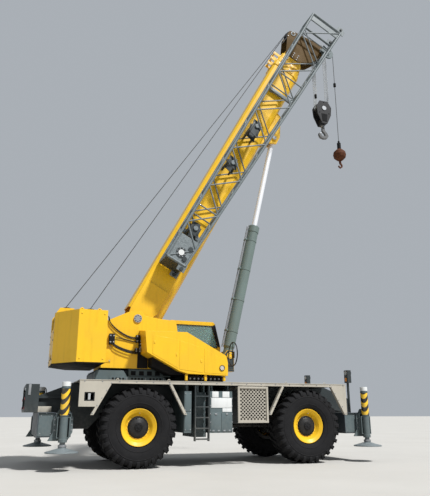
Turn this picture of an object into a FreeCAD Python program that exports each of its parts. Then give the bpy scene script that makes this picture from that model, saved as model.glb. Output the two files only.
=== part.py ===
import FreeCAD, Part
import math
import os
import re
import Sketcher

Vector = FreeCAD.Vector
# Mobile crane on two steered axles. Millimetres; +X is the driving direction, +Z up.
# The origin is on the ground, midway between the axles.

# Driving dimensions: name, value, what it is
SIZES = [
    ("wheel_base", 4650, "rear axle to front axle"),
    ("tyre_radius", 950, "ground to axle, lug tips"),
    ("tyre_width", 750, "tyre over its side walls"),
    ("wheel_out", 1690, "outer face of the tyres from the middle"),
    ("tyre_lugs", 28, "lugs on each side of a tyre"),
    ("bead_radius", 368, "tyre seat on the rim"),
    ("rim_wall", 22, "rim barrel wall"),
    ("rim_width", 600, "rim barrel"),
    ("flange_radius", 440, "rim flange"),
    ("dish_set", 170, "rim disc outwards of the wheel's middle"),
    ("dish_hole", 290, "opening of the rim's outer cone"),
    ("hub_radius", 250, "planetary hub"),
    ("hub_nose", 75, "planetary hub's nose outside the rim disc"),
    ("hub_start", 160, "hub's inner face from the kingpin"),
    ("king_out", 1000, "kingpins from the middle"),
    ("king_radius", 45, "kingpin"),
    ("knuckle_radius", 110, "knuckle round the kingpin"),
    ("knuckle_tall", 330, "knuckle between the ears"),
    ("spindle_radius", 130, "spindle in the hub"),
    ("spindle_long", 425, "spindle from the kingpin"),
    ("ear_radius", 95, "axle ears"),
    ("ear_thick", 65, "axle ears"),
    ("yoke_in", 810, "outer end of the axle tube"),
    ("yoke_wide", 300, "yoke along the machine"),
    ("axle_tube", 200, "axle tube radius"),
    ("axle_bowl", 330, "axle's final drive"),
    ("fit_gap", 0.3, "running clearance"),
    ("deck_top", 2060, "deck plates"),
    ("deck_thick", 20, "deck plates"),
    ("deck_rear", 3815, "deck behind the origin"),
    ("deck_front", 3505, "deck ahead of the origin"),
    ("skirt_tall", 85, "deck edge"),
    ("trim_thick", 20, "fender plates"),
    ("trim_deep", 100, "fender lips inwards"),
    ("trim_wide", 70, "fender lips"),
    ("fascia_low", 1430, "rear fascia"),
    ("arch_low", 1240, "lower end of the fender lips"),
    ("arch_high", 2020, "upper end of the fender lips"),
    ("arch_top", 700, "fender opening at the deck, from the axle"),
    ("arch_foot", 1125, "fender opening at its foot, from the axle"),
    ("rail_out", 450, "chassis side plates from the middle"),
    ("rail_thick", 50, "chassis side plates"),
    ("rail_arch", 1330, "chassis above the axles"),
    ("rail_low", 1000, "chassis between the axles"),
    ("rail_end_low", 900, "chassis at the outrigger boxes"),
    ("rail_end_top", 1700, "chassis over the outrigger boxes"),
    ("box_pitch", 390, "pair of outrigger tubes"),
    ("box_low", 740, "outrigger tubes"),
    ("box_tall", 560, "outrigger tubes"),
    ("box_wall", 16, "outrigger tubes"),
    ("box_out", 1400, "mouth of the outrigger tubes"),
    ("rear_box", 4300, "rear outrigger tubes behind the origin"),
    ("front_box", 4005, "front outrigger tubes ahead of the origin"),
    ("beam_gap", 8, "beam in its tube"),
    ("beam_wall", 12, "outrigger beam"),
    ("beam_long", 2860, "outrigger beam"),
    ("beam_stroke", 1900, "outrigger beam"),
    ("jack_out", 1560, "stowed jacks from the middle"),
    ("jack_radius", 92, "jack tube"),
    ("sleeve_radius", 100, "jack's upper sleeve"),
    ("jack_low", 630, "jack tube"),
    ("sleeve_low", 1220, "jack's upper sleeve"),
    ("jack_top", 1950, "jack's upper sleeve"),
    ("jack_bore", 74, "jack tube"),
    ("jack_rod", 64, "jack rod"),
    ("jack_gland", 60, "jack gland"),
    ("bracket_thick", 24, "plate that carries a jack"),
    ("bracket_wide", 450, "plate that carries a jack"),
    ("bracket_low", 660, "plate that carries a jack"),
    ("bracket_high", 1400, "plate that carries a jack"),
    ("float_low", 400, "underside of the floats"),
    ("float_radius", 380, "floats"),
    ("float_rim", 26, "floats"),
    ("float_tall", 130, "floats"),
    ("tail_back", 5005, "rear end behind the origin"),
    ("tail_half", 1100, "tail frame"),
    ("tail_low", 1300, "tail frame"),
    ("tail_top", 1960, "tail frame"),
    ("tail_bar", 90, "tail frame"),
    ("hood_back", 3355, "engine hood behind the origin"),
    ("hood_front", 1465, "engine hood behind the origin"),
    ("hood_half", 800, "engine hood"),
    ("hood_top", 2350, "engine hood at the rear"),
    ("hood_step", 2200, "engine hood under the slewing structure"),
    ("hood_wall", 15, "engine hood"),
    ("engine_back", 3250, "engine behind the origin"),
    ("engine_long", 1300, "engine"),
    ("engine_half", 380, "engine"),
    ("engine_low", 1400, "engine"),
    ("engine_top", 2150, "engine"),
    ("gearbox_back", 1280, "transfer gearbox"),
    ("gearbox_long", 430, "transfer gearbox"),
    ("gearbox_low", 850, "transfer gearbox"),
    ("gearbox_top", 1650, "transfer gearbox"),
    ("shaft_radius", 45, "drive shafts"),
    ("shaft_height", 945, "drive shafts"),
    ("guard_rear", 255, "mesh panel ahead of the origin"),
    ("guard_front", 1120, "mesh panel ahead of the origin"),
    ("guard_low", 1040, "mesh panel"),
    ("guard_high", 1960, "mesh panel"),
    ("guard_bar", 50, "mesh panel's frame"),
    ("guard_web", 14, "strands of the mesh"),
    ("lamp_rear", 3690, "rear side lamps behind the origin"),
    ("lamp_front", 3446, "rear side lamps behind the origin"),
    ("lamp_low", 1560, "rear side lamps"),
    ("lamp_high", 1765, "rear side lamps"),
    ("post_x", 3920, "front lamp posts ahead of the origin"),
    ("post_out", 1200, "front lamp posts from the middle"),
    ("ladder_rear", 920, "ladder behind the origin"),
    ("ladder_front", 525, "ladder behind the origin"),
    ("ladder_low", 610, "ladder"),
    ("rung_pitch", 260, "ladder"),
    ("fin_count", 30, "fins of the cooler in the tail"),
    ("slew_x", 625, "slewing axis behind the origin"),
    ("ring_radius", 640, "slewing ring"),
    ("ring_top", 2400, "slewing ring"),
    ("ring_tall", 90, "slewing ring"),
    ("base_low", 2420, "turntable base"),
    ("base_top", 2500, "turntable base"),
    ("cheek_out", 660, "turntable cheeks"),
    ("cheek_thick", 60, "turntable cheeks"),
    ("cheek_top", 3960, "turntable cheeks"),
    ("cheek_front", 300, "turntable cheeks ahead of the origin"),
    ("pivot_x", 2265, "boom pivot behind the origin"),
    ("pivot_z", 3760, "boom pivot"),
    ("pivot_radius", 90, "boom pivot pin"),
    ("pivot_cap", 105, "boom pivot pin's end disc"),
    ("luff_rest", 62, "boom's angle to the ground, degrees"),
    ("foot_x", 598, "lift cylinder's foot ahead of the origin"),
    ("foot_z", 2900, "lift cylinder's foot"),
    ("weight_front", 3195, "counterweight behind the origin"),
    ("weight_side", 3915, "counterweight's side face behind the origin"),
    ("weight_back", 4440, "counterweight's rear face behind the origin"),
    ("weight_half", 1420, "counterweight"),
    ("weight_rear_half", 620, "counterweight's rear face"),
    ("weight_low", 2490, "counterweight"),
    ("weight_top", 3800, "counterweight"),
    ("well_floor", 3400, "hoist well of the counterweight"),
    ("well_half", 420, "hoist well of the counterweight"),
    ("drum_radius", 230, "hoist drums"),
    ("drum_flange", 280, "hoist drums"),
    ("drum_half", 300, "hoist drums"),
    ("main_drum", 4130, "main hoist behind the origin"),
    ("aux_drum", 3500, "second hoist behind the origin"),
    ("drum_lift", 60, "drum flanges above the floor of their well"),
    ("hoist_plate", 25, "hoist side plates"),
    ("side_hood_out", 1400, "near side housing"),
    ("hoop_x", 300, "mirror hoop ahead of the origin"),
    ("hoop_out", 1200, "mirror hoop from the middle"),
    ("hoop_mid", 2840, "mirror hoop"),
    ("hoop_radius", 330, "mirror hoop"),
    ("cab_rear", 1025, "cab behind the origin"),
    ("cab_front", 635, "cab ahead of the origin"),
    ("cab_roof_front", 460, "cab roof ahead of the origin"),
    ("cab_low", 2280, "cab floor"),
    ("cab_top", 4000, "cab roof"),
    ("cab_belt", 3240, "foot of the cab's windscreen"),
    ("cab_out", 1450, "cab's outer wall"),
    ("cab_wall", 40, "cab walls"),
    ("cab_post", 70, "cab posts round the windows"),
    ("glass_thick", 8, "cab glass"),
    ("door_rear", 290, "cab door behind the origin"),
    ("door_front", 400, "cab door ahead of the origin"),
    ("door_low", 2400, "cab door"),
    ("door_top", 3900, "cab door"),
    ("door_thick", 36, "cab door"),
    ("door_gap", 6, "cab door from the cab's wall"),
    ("door_stroke", 650, "cab door"),
    ("boom_deep", 1040, "base section"),
    ("boom_wide", 750, "base section"),
    ("boom_step", 100, "each section less than the one round it"),
    ("boom_wall", 12, "boom sections"),
    ("boom_drop", 150, "boom's middle below its pivot"),
    ("base_tail", 250, "base section's rear end from the pivot"),
    ("base_nose", 10670, "base section's front end from the pivot"),
    ("collar_long", 200, "collars"),
    ("collar_proud", 20, "collars"),
    ("collar_pitch", 260, "collar to collar, retracted"),
    ("tail_pitch", 120, "section tails, retracted"),
    ("fly_nose", 11460, "fly section's front end from the pivot"),
    ("pad_long", 160, "slide pads"),
    ("lug_thick", 60, "boom's pivot lugs"),
    ("lug_radius", 250, "boom's pivot lugs"),
    ("lift_out", 7933, "lift cylinder's upper pin from the pivot"),
    ("lift_drop", 969, "lift cylinder's upper pin below the boom's axis"),
    ("lift_pin", 70, "lift cylinder's pins"),
    ("lift_eye", 150, "lift cylinder's eyes"),
    ("eye_half", 110, "lift cylinder's eyes"),
    ("ear_gap", 6, "lift cylinder's eyes between their ears"),
    ("ear_plate", 60, "lift cylinder's ears"),
    ("barrel_radius", 172, "lift cylinder"),
    ("barrel_bore", 140, "lift cylinder"),
    ("barrel_long", 4280, "lift cylinder"),
    ("lift_rod", 88, "lift cylinder's rod"),
    ("lift_rod_long", 4560, "lift cylinder's rod"),
    ("gland_long", 220, "lift cylinder's gland"),
    ("sheave_out", 12400, "main head sheaves from the pivot"),
    ("sheave_drop", 930, "main head sheaves below the boom's axis"),
    ("sheave_radius", 250, "main head sheaves"),
    ("sheave_thick", 52, "head sheaves"),
    ("sheave_pitch", 66, "head sheaves"),
    ("groove_deep", 22, "sheave grooves"),
    ("idler_out", 12245, "upper idler sheaves from the pivot"),
    ("idler_rise", 316, "upper idler sheaves above the boom's axis"),
    ("idler_radius", 210, "upper idler sheaves"),
    ("head_plate", 24, "head plates"),
    ("head_pin", 45, "head shafts"),
    ("aux_out", 12375, "nose sheave from the pivot"),
    ("aux_drop", 1175, "nose sheave below the boom's axis"),
    ("aux_side", 350, "nose sheave from the middle"),
    ("aux_radius", 200, "nose sheave"),
    ("jib_in", 460, "jib's inner chords from the middle"),
    ("jib_wide", 720, "jib"),
    ("jib_tail", 1830, "jib's narrow end from the pivot"),
    ("jib_nose", 12640, "jib's wide end from the pivot"),
    ("jib_chord", 38, "jib's chord tubes, half"),
    ("jib_lace", 19, "jib's lacing tubes, half"),
    ("jib_bays", 13, "jib's lacing"),
    ("guide_height", 520, "rope guides' rollers above the pivot"),
    ("falls_long", 2140, "main falls, sheave centre to block"),
    ("rope_radius", 11, "hoist ropes"),
    ("block_tall", 840, "hook block"),
    ("block_wide", 600, "hook block"),
    ("block_half", 165, "hook block"),
    ("hook_tall", 560, "main hook"),
    ("aux_fall", 3900, "nose sheave centre to the ball's top"),
    ("ball_radius", 225, "ball"),
]

doc = FreeCAD.newDocument("MobileCrane")
dims = doc.addObject("Spreadsheet::Sheet", "Dims")
for row, (name, value, note) in enumerate(SIZES, 1):
    dims.set(f"A{row}", note)
    dims.set(f"B{row}", str(value))
    dims.setAlias(f"B{row}", name)
doc.recompute()
NAMES = {name for name, _, _ in SIZES}
made = []

# Places that several pieces share, as formulas of the sheet's names
AXLE = "(wheel_base / 2)"
HUB_MID = "(wheel_out - tyre_width / 2 - king_out)"
BOX_TOP = "(box_low + box_tall)"
DECK_LOW = "(deck_top - deck_thick)"
RAIL_IN = "(rail_out - rail_thick)"
CHEEK_IN = "(cheek_out - cheek_thick)"
FOOT_HALF = "(barrel_radius + 12)"
FRONT, REAR, RIGHT, LEFT = 1, -1, -1, 1


def words(text):
    """A formula with the sheet's name before each of its names."""
    return re.sub(r"[A-Za-z_]\w*", lambda m: "Dims." + m.group() if m.group() in NAMES else m.group(),
                  str(text))


def number(text):
    return float(dims.evalExpression(words(text)))


def flip(side, text):
    return str(text) if side > 0 else f"-({text})"


def span(side, near, far):
    """Low and high of a stretch that starts near the middle, on either side of it."""
    return (near, far) if side > 0 else (f"-({far})", f"-({near})")


def piece(label, at=("0", "0", "0"), axis=(0, 0, 1), turn=0.0):
    """One named sub-part; turn is in degrees about axis."""
    body = doc.addObject("PartDesign::Body", label)
    body.Label = label
    place = Vector(*[number(c) for c in at])
    body.Placement = FreeCAD.Placement(place, FreeCAD.Rotation(Vector(*axis), turn))
    for letter, text in zip("xyz", at):
        body.setExpression(f"Placement.Base.{letter}", words(text))
    made.append(body)
    return body


def sketch(body, plane, loops, shift=("0", "0", "0")):
    """Closed outlines; a loop is a list of corners or ("round", x, y, radius)."""
    drawing = body.newObject("Sketcher::SketchObject", "Outline")
    origin_plane = [f for f in body.Origin.OriginFeatures if f.Role == plane][0]
    drawing.AttachmentSupport = [(origin_plane, "")]
    drawing.MapMode = "FlatFace"
    for letter, text in zip("xyz", shift):
        drawing.setExpression(f"AttachmentOffset.Base.{letter}", words(text))
    for loop in loops:
        if loop[0] == "round":
            _, across, up, radius = loop
            centre = Vector(number(across), number(up), 0)
            ring = drawing.addGeometry(Part.Circle(centre, Vector(0, 0, 1), number(radius)), False)
            fix_point(drawing, ring, 3, across, up)
            at = drawing.addConstraint(Sketcher.Constraint("Radius", ring, number(radius)))
            drawing.setExpression(f"Constraints[{at}]", words(radius))
            continue
        corners = [Vector(number(x), number(y), 0) for x, y in loop]
        first = drawing.GeometryCount
        count = len(corners)
        drawing.addGeometry([Part.LineSegment(corners[i], corners[(i + 1) % count])
                             for i in range(count)], False)
        drawing.addConstraint([Sketcher.Constraint("Coincident", first + i, 2, first + (i + 1) % count, 1)
                               for i in range(count)])
        for i, (x, y) in enumerate(loop):
            fix_point(drawing, first + i, 1, x, y)
    return drawing


def fix_point(drawing, item, end, across, up):
    for kind, text in (("DistanceX", across), ("DistanceY", up)):
        at = drawing.addConstraint(Sketcher.Constraint(kind, -1, 1, item, end, number(text)))
        drawing.setExpression(f"Constraints[{at}]", words(text))


# A sketch on XY looks down Z, on XZ its heights are Z, on YZ its widths are Y
FACING = {"XY": ("XY_Plane", 1), "XZ": ("XZ_Plane", -1), "YZ": ("YZ_Plane", 1)}


def pad(body, plane, loops, low, high):
    """Material between two places along the plane's third axis."""
    role, way = FACING[plane]
    lift = low if way > 0 else f"-({low})"
    drawing = sketch(body, role, loops, ("0", "0", lift))
    solid = body.newObject("PartDesign::Pad", "Pad")
    solid.Profile = drawing
    solid.Reversed = way < 0
    solid.setExpression("Length", words(f"({high}) - ({low})"))
    return solid


def cut(body, plane, loops, low, high):
    """The same outline taken away; the cut runs from high back to low."""
    role, way = FACING[plane]
    lift = high if way > 0 else f"-({low})"
    drawing = sketch(body, role, loops, ("0", "0", lift))
    hollow = body.newObject("PartDesign::Pocket", "Pocket")
    hollow.Profile = drawing
    hollow.setExpression("Length", words(f"({high}) - ({low})"))
    return hollow


def spin(body, axis, loops, at=("0", "0", "0")):
    """Corners (along the axis, radius) turned about X, Y or Z through a point."""
    x, y, z = at
    if axis == "Y":
        drawing = sketch(body, "YZ_Plane", loops, (y, z, x))
    elif axis == "X":
        drawing = sketch(body, "XZ_Plane", loops, (x, z, f"-({y})"))
    else:
        upright = [[(radius, along) for along, radius in loop] for loop in loops]
        drawing = sketch(body, "XZ_Plane", upright, (x, z, f"-({y})"))
    turned = body.newObject("PartDesign::Revolution", "Turned")
    turned.Profile = drawing
    turned.ReferenceAxis = (drawing, ["V_Axis" if axis == "Z" else "H_Axis"])
    turned.Angle = 360
    return turned


def loft(body, plane, sections):
    """Material between outlines at places along the plane's third axis."""
    role, way = FACING[plane]
    drawings = [sketch(body, role, [outline], ("0", "0", f"{way} * ({at})")) for at, outline in sections]
    solid = body.newObject("PartDesign::AdditiveLoft", "Loft")
    solid.Profile = drawings[0]
    solid.Sections = drawings[1:]
    solid.Ruled = True
    return solid


def box(body, x, y, z):
    """Material between (low, high) on each axis."""
    return pad(body, "XY", [square(x, y)], *z)


def square(across, up):
    return [(across[0], up[0]), (across[1], up[0]), (across[1], up[1]), (across[0], up[1])]


def free_piece(label, shape, at=("0", "0", "0"), axis=(0, 0, 1), turn=0.0):
    """A sub-part whose shape is worked out in code from the sheet."""
    feature = doc.addObject("Part::Feature", label)
    feature.Label = label
    feature.Shape = shape
    place = Vector(*[number(c) for c in at])
    feature.Placement = FreeCAD.Placement(place, FreeCAD.Rotation(Vector(*axis), turn))
    made.append(feature)
    return feature


def brick(x, y, z):
    """A solid between (low, high) on each axis."""
    lows, highs = zip(*[(number(low), number(high)) for low, high in (x, y, z)])
    return Part.makeBox(*[high - low for low, high in zip(lows, highs)], Vector(*lows))


def flat_face(points):
    return Part.Face(Part.makePolygon(points + points[:1]))


def bar(start, end, half, facing):
    """A square bar between two points, two of its sides square to facing."""
    along = end - start
    across = along.cross(facing).normalize() * half
    up = across.cross(along).normalize() * half
    return flat_face([start + across + up, start - across + up, start - across - up,
                      start + across - up]).extrude(along)


def fused(solids):
    return solids[0].fuse(solids[1:]).removeSplitter()


# Chassis, deck and what they carry

def chassis_frame():
    body = piece("carrier_frame")
    rear_face, front_face = "-(rear_box - box_pitch)", "(front_box - box_pitch)"
    side = [("-(rear_box + box_pitch)", BOX_TOP), (rear_face, BOX_TOP), (rear_face, "rail_end_low"),
            (f"-{AXLE} - 1075", "rail_end_low"), (f"-{AXLE} - 675", "rail_arch"),
            (f"-{AXLE} + 625", "rail_arch"), (f"-{AXLE} + 1025", "rail_low"),
            (f"{AXLE} - 1025", "rail_low"), (f"{AXLE} - 625", "rail_arch"),
            (f"{AXLE} + 625", "rail_arch"), (f"{AXLE} + 1025", "rail_end_low"),
            (front_face, "rail_end_low"), (front_face, BOX_TOP), ("front_box + box_pitch", BOX_TOP),
            ("front_box + box_pitch", "rail_end_top"), ("deck_front", DECK_LOW),
            ("-deck_rear", DECK_LOW), ("-(rear_box + box_pitch)", "rail_end_top")]
    for hand in (LEFT, RIGHT):
        pad(body, "XZ", [side], *span(hand, RAIL_IN, "rail_out"))
    across = (f"-{RAIL_IN}", RAIL_IN)
    box(body, ("-gearbox_back + gearbox_long", f"{AXLE} - 1025"), across, ("rail_low", "rail_low + 40"))
    for place in ("-deck_rear", f"-{AXLE} + 665", f"{AXLE} - 705", "deck_front - 40"):
        box(body, (place, f"{place} + 40"), across, ("rail_arch", DECK_LOW))
    for place in ("-engine_back + 100", "-engine_back + engine_long - 220"):
        box(body, (place, f"{place} + 120"), across, ("rail_arch", "engine_low"))
    for middle in (f"-{AXLE} - 745", f"-{AXLE} + 745", f"{AXLE} - 745", f"{AXLE} + 745"):
        for hand in (LEFT, RIGHT):
            box(body, (f"{middle} - 15", f"{middle} + 15"), span(hand, "rail_out", "wheel_out - trim_deep"),
                (f"{DECK_LOW} - 60", DECK_LOW))


def deck_plates():
    body = piece("deck")
    length = ("-deck_rear", "deck_front")
    box(body, length, ("-wheel_out", "wheel_out"), (DECK_LOW, "deck_top"))
    cut(body, "XY", [square(("-engine_back", "-hood_front - 100"), ("-hood_half + 150", "hood_half - 150"))],
        DECK_LOW, "deck_top")
    slope = "((arch_foot - arch_top) / (arch_high - arch_low))"
    fascia_foot = f"-({AXLE} + arch_top + {slope} * (arch_high - fascia_low))"
    for hand in (LEFT, RIGHT):
        skin = span(hand, "wheel_out - trim_thick", "wheel_out")
        lip = span(hand, "wheel_out - trim_deep", "wheel_out")
        box(body, length, skin, ("deck_top - skirt_tall", DECK_LOW))
        pad(body, "XZ", [[("-deck_rear", DECK_LOW), ("-deck_rear", "fascia_low"), (fascia_foot, "fascia_low"),
                          (f"-({AXLE} + arch_top)", "arch_high"), (f"-({AXLE} + arch_top)", DECK_LOW)]], *skin)
        front = f"({AXLE} + arch_foot + trim_wide)"
        pad(body, "XZ", [[(f"{AXLE} + arch_top", DECK_LOW), (f"{AXLE} + arch_top", "arch_high"),
                          (f"{AXLE} + arch_foot", "arch_low"), (front, "arch_low"), (front, DECK_LOW)]], *skin)
        cut(body, "XZ", [square(("-lamp_rear", "-lamp_front"), ("lamp_low", "lamp_high"))],
            *span(hand, "wheel_out - trim_thick - 5", "wheel_out + 5"))
        for end in (REAR, FRONT):
            for way in (REAR, FRONT):
                middle = flip(end, AXLE)
                top, foot = flip(way, "arch_top"), flip(way, "arch_foot")
                wide = flip(way, "trim_wide")
                pad(body, "XZ", [[(f"{middle} + {top}", DECK_LOW), (f"{middle} + {top}", "arch_high"),
                                  (f"{middle} + {foot}", "arch_low"),
                                  (f"{middle} + {foot} + {wide}", "arch_low"),
                                  (f"{middle} + {top} + {wide}", "arch_high"),
                                  (f"{middle} + {top} + {wide}", DECK_LOW)]], *lip)


def outrigger_tubes():
    body = piece("outrigger_boxes")
    for middle in ("-rear_box", "front_box"):
        for half in (-1, 1):
            centre = f"({middle} + {half} * box_pitch / 2)"
            outer = square((f"{centre} - box_pitch / 2", f"{centre} + box_pitch / 2"), ("box_low", BOX_TOP))
            inner = square((f"{centre} - box_pitch / 2 + box_wall", f"{centre} + box_pitch / 2 - box_wall"),
                           ("box_low + box_wall", f"{BOX_TOP} - box_wall"))
            pad(body, "XZ", [outer, inner], "-box_out", "box_out")
            hand = beam_hand(middle, half)
            mouth = span(hand, "box_out - pad_long", "box_out")
            seat = "box_wall + beam_gap - fit_gap"
            wide = (f"{centre} - 110", f"{centre} + 110")
            box(body, wide, mouth, ("box_low + box_wall", f"box_low + {seat}"))
            box(body, wide, mouth, (f"{BOX_TOP} - ({seat})", f"{BOX_TOP} - box_wall"))


def beam_hand(middle, half):
    """The rear pair's front tube and the front pair's front tube open to the right."""
    return RIGHT if half > 0 else LEFT


CORNERS = [("rear_right", "-rear_box", 1), ("rear_left", "-rear_box", -1),
           ("front_right", "front_box", 1), ("front_left", "front_box", -1)]


def outrigger_beam(corner, middle, half):
    hand = beam_hand(middle, half)
    centre = f"({middle} + {half} * box_pitch / 2)"
    body = piece("beam_" + corner)
    wide, tall = "(box_pitch / 2 - box_wall - beam_gap)", "(box_wall + beam_gap)"
    outer = square((f"{centre} - {wide}", f"{centre} + {wide}"),
                   (f"box_low + {tall}", f"{BOX_TOP} - {tall}"))
    inner = square((f"{centre} - {wide} + beam_wall", f"{centre} + {wide} - beam_wall"),
                   (f"box_low + {tall} + beam_wall", f"{BOX_TOP} - {tall} - beam_wall"))
    head = "(jack_out - jack_radius)"
    pad(body, "XZ", [outer, inner], *span(hand, f"{head} + 30 - beam_long", f"{head} + 30"))
    box(body, (f"{centre} - {wide}", f"{centre} + {wide}"),
        span(hand, f"{head} + 30 - beam_long", f"{head} + 30 - beam_long + beam_wall"),
        (f"box_low + {tall}", f"{BOX_TOP} - {tall}"))
    shoulder = "bracket_wide / 2 - 110"
    plate = [(f"{centre} - {shoulder}", "bracket_low"), (f"{centre} + {shoulder}", "bracket_low"),
             (f"{centre} + bracket_wide / 2", "bracket_low + 190"),
             (f"{centre} + bracket_wide / 2", "bracket_high - 220"),
             (f"{centre} + 90", "bracket_high"), (f"{centre} - 90", "bracket_high"),
             (f"{centre} - bracket_wide / 2", "bracket_high - 220"),
             (f"{centre} - bracket_wide / 2", "bracket_low + 190")]
    pad(body, "XZ", [plate], *span(hand, "box_out + 6", "box_out + 6 + bracket_thick"))
    for offset in ("-150", "130"):
        box(body, (f"{centre} + {offset}", f"{centre} + {offset} + 20"),
            span(hand, "box_out + 6 + bracket_thick", "jack_out"), ("bracket_low + 60", "bracket_high - 200"))
    for level in ("bracket_low + 60", "bracket_high - 220"):
        box(body, (f"{centre} - 150", f"{centre} + 150"),
            span(hand, "box_out + 6 + bracket_thick", "jack_out"), (level, f"{level} + 20"))
    spin(body, "Z", [[("jack_low", "0"), ("jack_low", "jack_radius"), ("sleeve_low", "jack_radius"),
                      ("sleeve_low", "sleeve_radius"), ("jack_top", "sleeve_radius"),
                      ("jack_top + 40", "sleeve_radius - 30"), ("jack_top + 40", "0")]],
         (centre, flip(hand, "jack_out"), "0"))
    cut(body, "XY", [("round", centre, flip(hand, "jack_out"), "jack_bore")],
        "jack_low + jack_gland", "jack_top - 20")
    cut(body, "XY", [("round", centre, flip(hand, "jack_out"), "jack_rod + fit_gap")],
        "jack_low - 10", "jack_low + jack_gland + 10")


def outrigger_float(corner, middle, half):
    hand = beam_hand(middle, half)
    centre = f"({middle} + {half} * box_pitch / 2)"
    body = piece("float_" + corner, (centre, flip(hand, "jack_out"), "0"))
    neck = "(float_low + float_tall)"
    spin(body, "Z", [[("float_low", "0"), ("float_low", "float_radius"),
                      ("float_low + float_rim", "float_radius"), (f"{neck} - 30", "jack_rod + 30"),
                      (neck, "jack_rod + 30"), (neck, "jack_rod"), ("jack_top - 60", "jack_rod"),
                      ("jack_top - 60", "0")]])


def axle_housings():
    body = piece("axles")
    for end in (REAR, FRONT):
        middle = flip(end, AXLE)
        centre = (middle, "0", "tyre_radius")
        spin(body, "Y", [[("-yoke_in", "0"), ("-yoke_in", "axle_tube - 40"), ("-420", "axle_tube"),
                          ("-260", "axle_bowl"), ("260", "axle_bowl"), ("420", "axle_tube"),
                          ("yoke_in", "axle_tube - 40"), ("yoke_in", "0")]], centre)
        box(body, (f"{middle} - 170", f"{middle} + 170"), ("-rail_out", "rail_out"),
            ("tyre_radius + axle_tube - 60", "rail_arch"))
        for hand in (LEFT, RIGHT):
            box(body, (f"{middle} - yoke_wide / 2", f"{middle} + yoke_wide / 2"),
                span(hand, "yoke_in - 110", "yoke_in"),
                ("tyre_radius - knuckle_tall / 2 - ear_thick", "tyre_radius + knuckle_tall / 2 + ear_thick"))
            king = (middle, flip(hand, "king_out"))
            for low in ("tyre_radius + knuckle_tall / 2", "tyre_radius - knuckle_tall / 2 - ear_thick"):
                box(body, (f"{middle} - ear_radius", f"{middle} + ear_radius"),
                    span(hand, "yoke_in - 10", "king_out"), (low, f"{low} + ear_thick"))
                pad(body, "XY", [("round", *king, "ear_radius")], low, f"{low} + ear_thick")
            pad(body, "XY", [("round", *king, "king_radius")], "tyre_radius - knuckle_tall / 2",
                "tyre_radius + knuckle_tall / 2")


def at_kingpin(label, end, hand):
    """Sub-parts of a wheel are drawn with +Y outwards and the kingpin at their origin."""
    turn = 0 if hand > 0 else 180
    return piece(label, (flip(end, AXLE), flip(hand, "king_out"), "tyre_radius"), (0, 0, 1), turn)


WHEELS = [("rear_right", REAR, RIGHT), ("rear_left", REAR, LEFT),
          ("front_right", FRONT, RIGHT), ("front_left", FRONT, LEFT)]


def steering_knuckle(corner, end, hand):
    body = at_kingpin("knuckle_" + corner, end, hand)
    half = "(knuckle_tall / 2 - fit_gap)"
    pad(body, "XY", [("round", "0", "0", "knuckle_radius")], f"-{half}", half)
    spin(body, "Y", [[("0", "0"), ("0", "spindle_radius + 10"), ("hub_start - 12", "spindle_radius + 10"),
                      ("hub_start - 12", "spindle_radius"), ("spindle_long", "spindle_radius"),
                      ("spindle_long", "0")]])
    toe = 1 if end * hand > 0 else -1
    pad(body, "XY", [[("0", "60"), ("0", "-60"), (f"{-toe} * 290", "-80"), (f"{-toe} * 335", "-60"),
                      (f"{-toe} * 325", "-20")]], "-90", "-40")
    cut(body, "XY", [("round", "0", "0", "king_radius + fit_gap")], "-knuckle_tall", "knuckle_tall")


def tyre_ring(share, radius, count):
    """Corners at a share of the width, one flat facet straight down between the last and the first."""
    step = 2 * math.pi / count
    return [Vector(radius * math.sin((k - 0.5) * step), number(f"{HUB_MID} + ({share}) * tyre_width"),
                   -radius * math.cos((k - 0.5) * step)) for k in range(count)]


def tyre(corner, end, hand):
    """Flat facets: two per lug, the lugs of the two sides staggered."""
    count = 2 * int(number("tyre_lugs"))
    outside = number("tyre_radius")
    tip = outside / math.cos(math.pi / count)
    seat = number("bead_radius + fit_gap") / math.cos(2 * math.pi / count)
    faces = []

    def flat(*points):
        faces.append(flat_face(list(points)))

    middles = {}
    for side in (1, -1):
        tread = tyre_ring(side * 0.035, 0.945 * outside, count)
        edge = tyre_ring(side * 0.40, 0.93 * outside, count)
        shoulder = tyre_ring(side * 0.495, 0.79 * outside, count)
        lug_in = tyre_ring(side * 0.035, 0.992 * tip, count)
        lug_out = tyre_ring(side * 0.45, tip, count)
        wall, flank, bead = [
            [ring[k] for k in range(0, count, 2)] for ring in
            (tyre_ring(side * 0.5, 0.66 * outside, count), tyre_ring(side * 0.365, number("flange_radius + 20"), count),
             tyre_ring(side * 0.34, seat, count))]
        middles[side] = (tread, bead)
        for k in range(count):
            n = (k + 1) % count
            if (k % 2 == 0) == (side > 0):
                for near, far in ((tread, lug_in), (lug_in, lug_out), (lug_out, shoulder)):
                    flat(near[k], near[n], far[n], far[k])
                for at in (k, n):
                    flat(tread[at], lug_in[at], lug_out[at], shoulder[at], edge[at])
            else:
                for near, far in ((tread, edge), (edge, shoulder)):
                    flat(near[k], near[n], far[n], far[k])
        for k in range(count // 2):
            n = (k + 1) % (count // 2)
            a, b, c = shoulder[2 * k], shoulder[2 * k + 1], shoulder[(2 * k + 2) % count]
            flat(a, b, wall[k])
            flat(b, wall[n], wall[k])
            flat(b, c, wall[n])
            flat(wall[k], wall[n], flank[n], flank[k])
            flat(flank[k], flank[n], bead[n], bead[k])
    for ring in (0, 1):
        right, left = middles[1][ring], middles[-1][ring]
        for k in range(len(right)):
            n = (k + 1) % len(right)
            flat(right[k], right[n], left[n], left[k])
    solid = Part.makeSolid(Part.makeShell(faces))
    if solid.Volume < 0:
        solid.reverse()
    turn = 0 if hand > 0 else 180
    free_piece("tyre_" + corner, solid, (flip(end, AXLE), flip(hand, "king_out"), "tyre_radius"), (0, 0, 1), turn)


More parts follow.
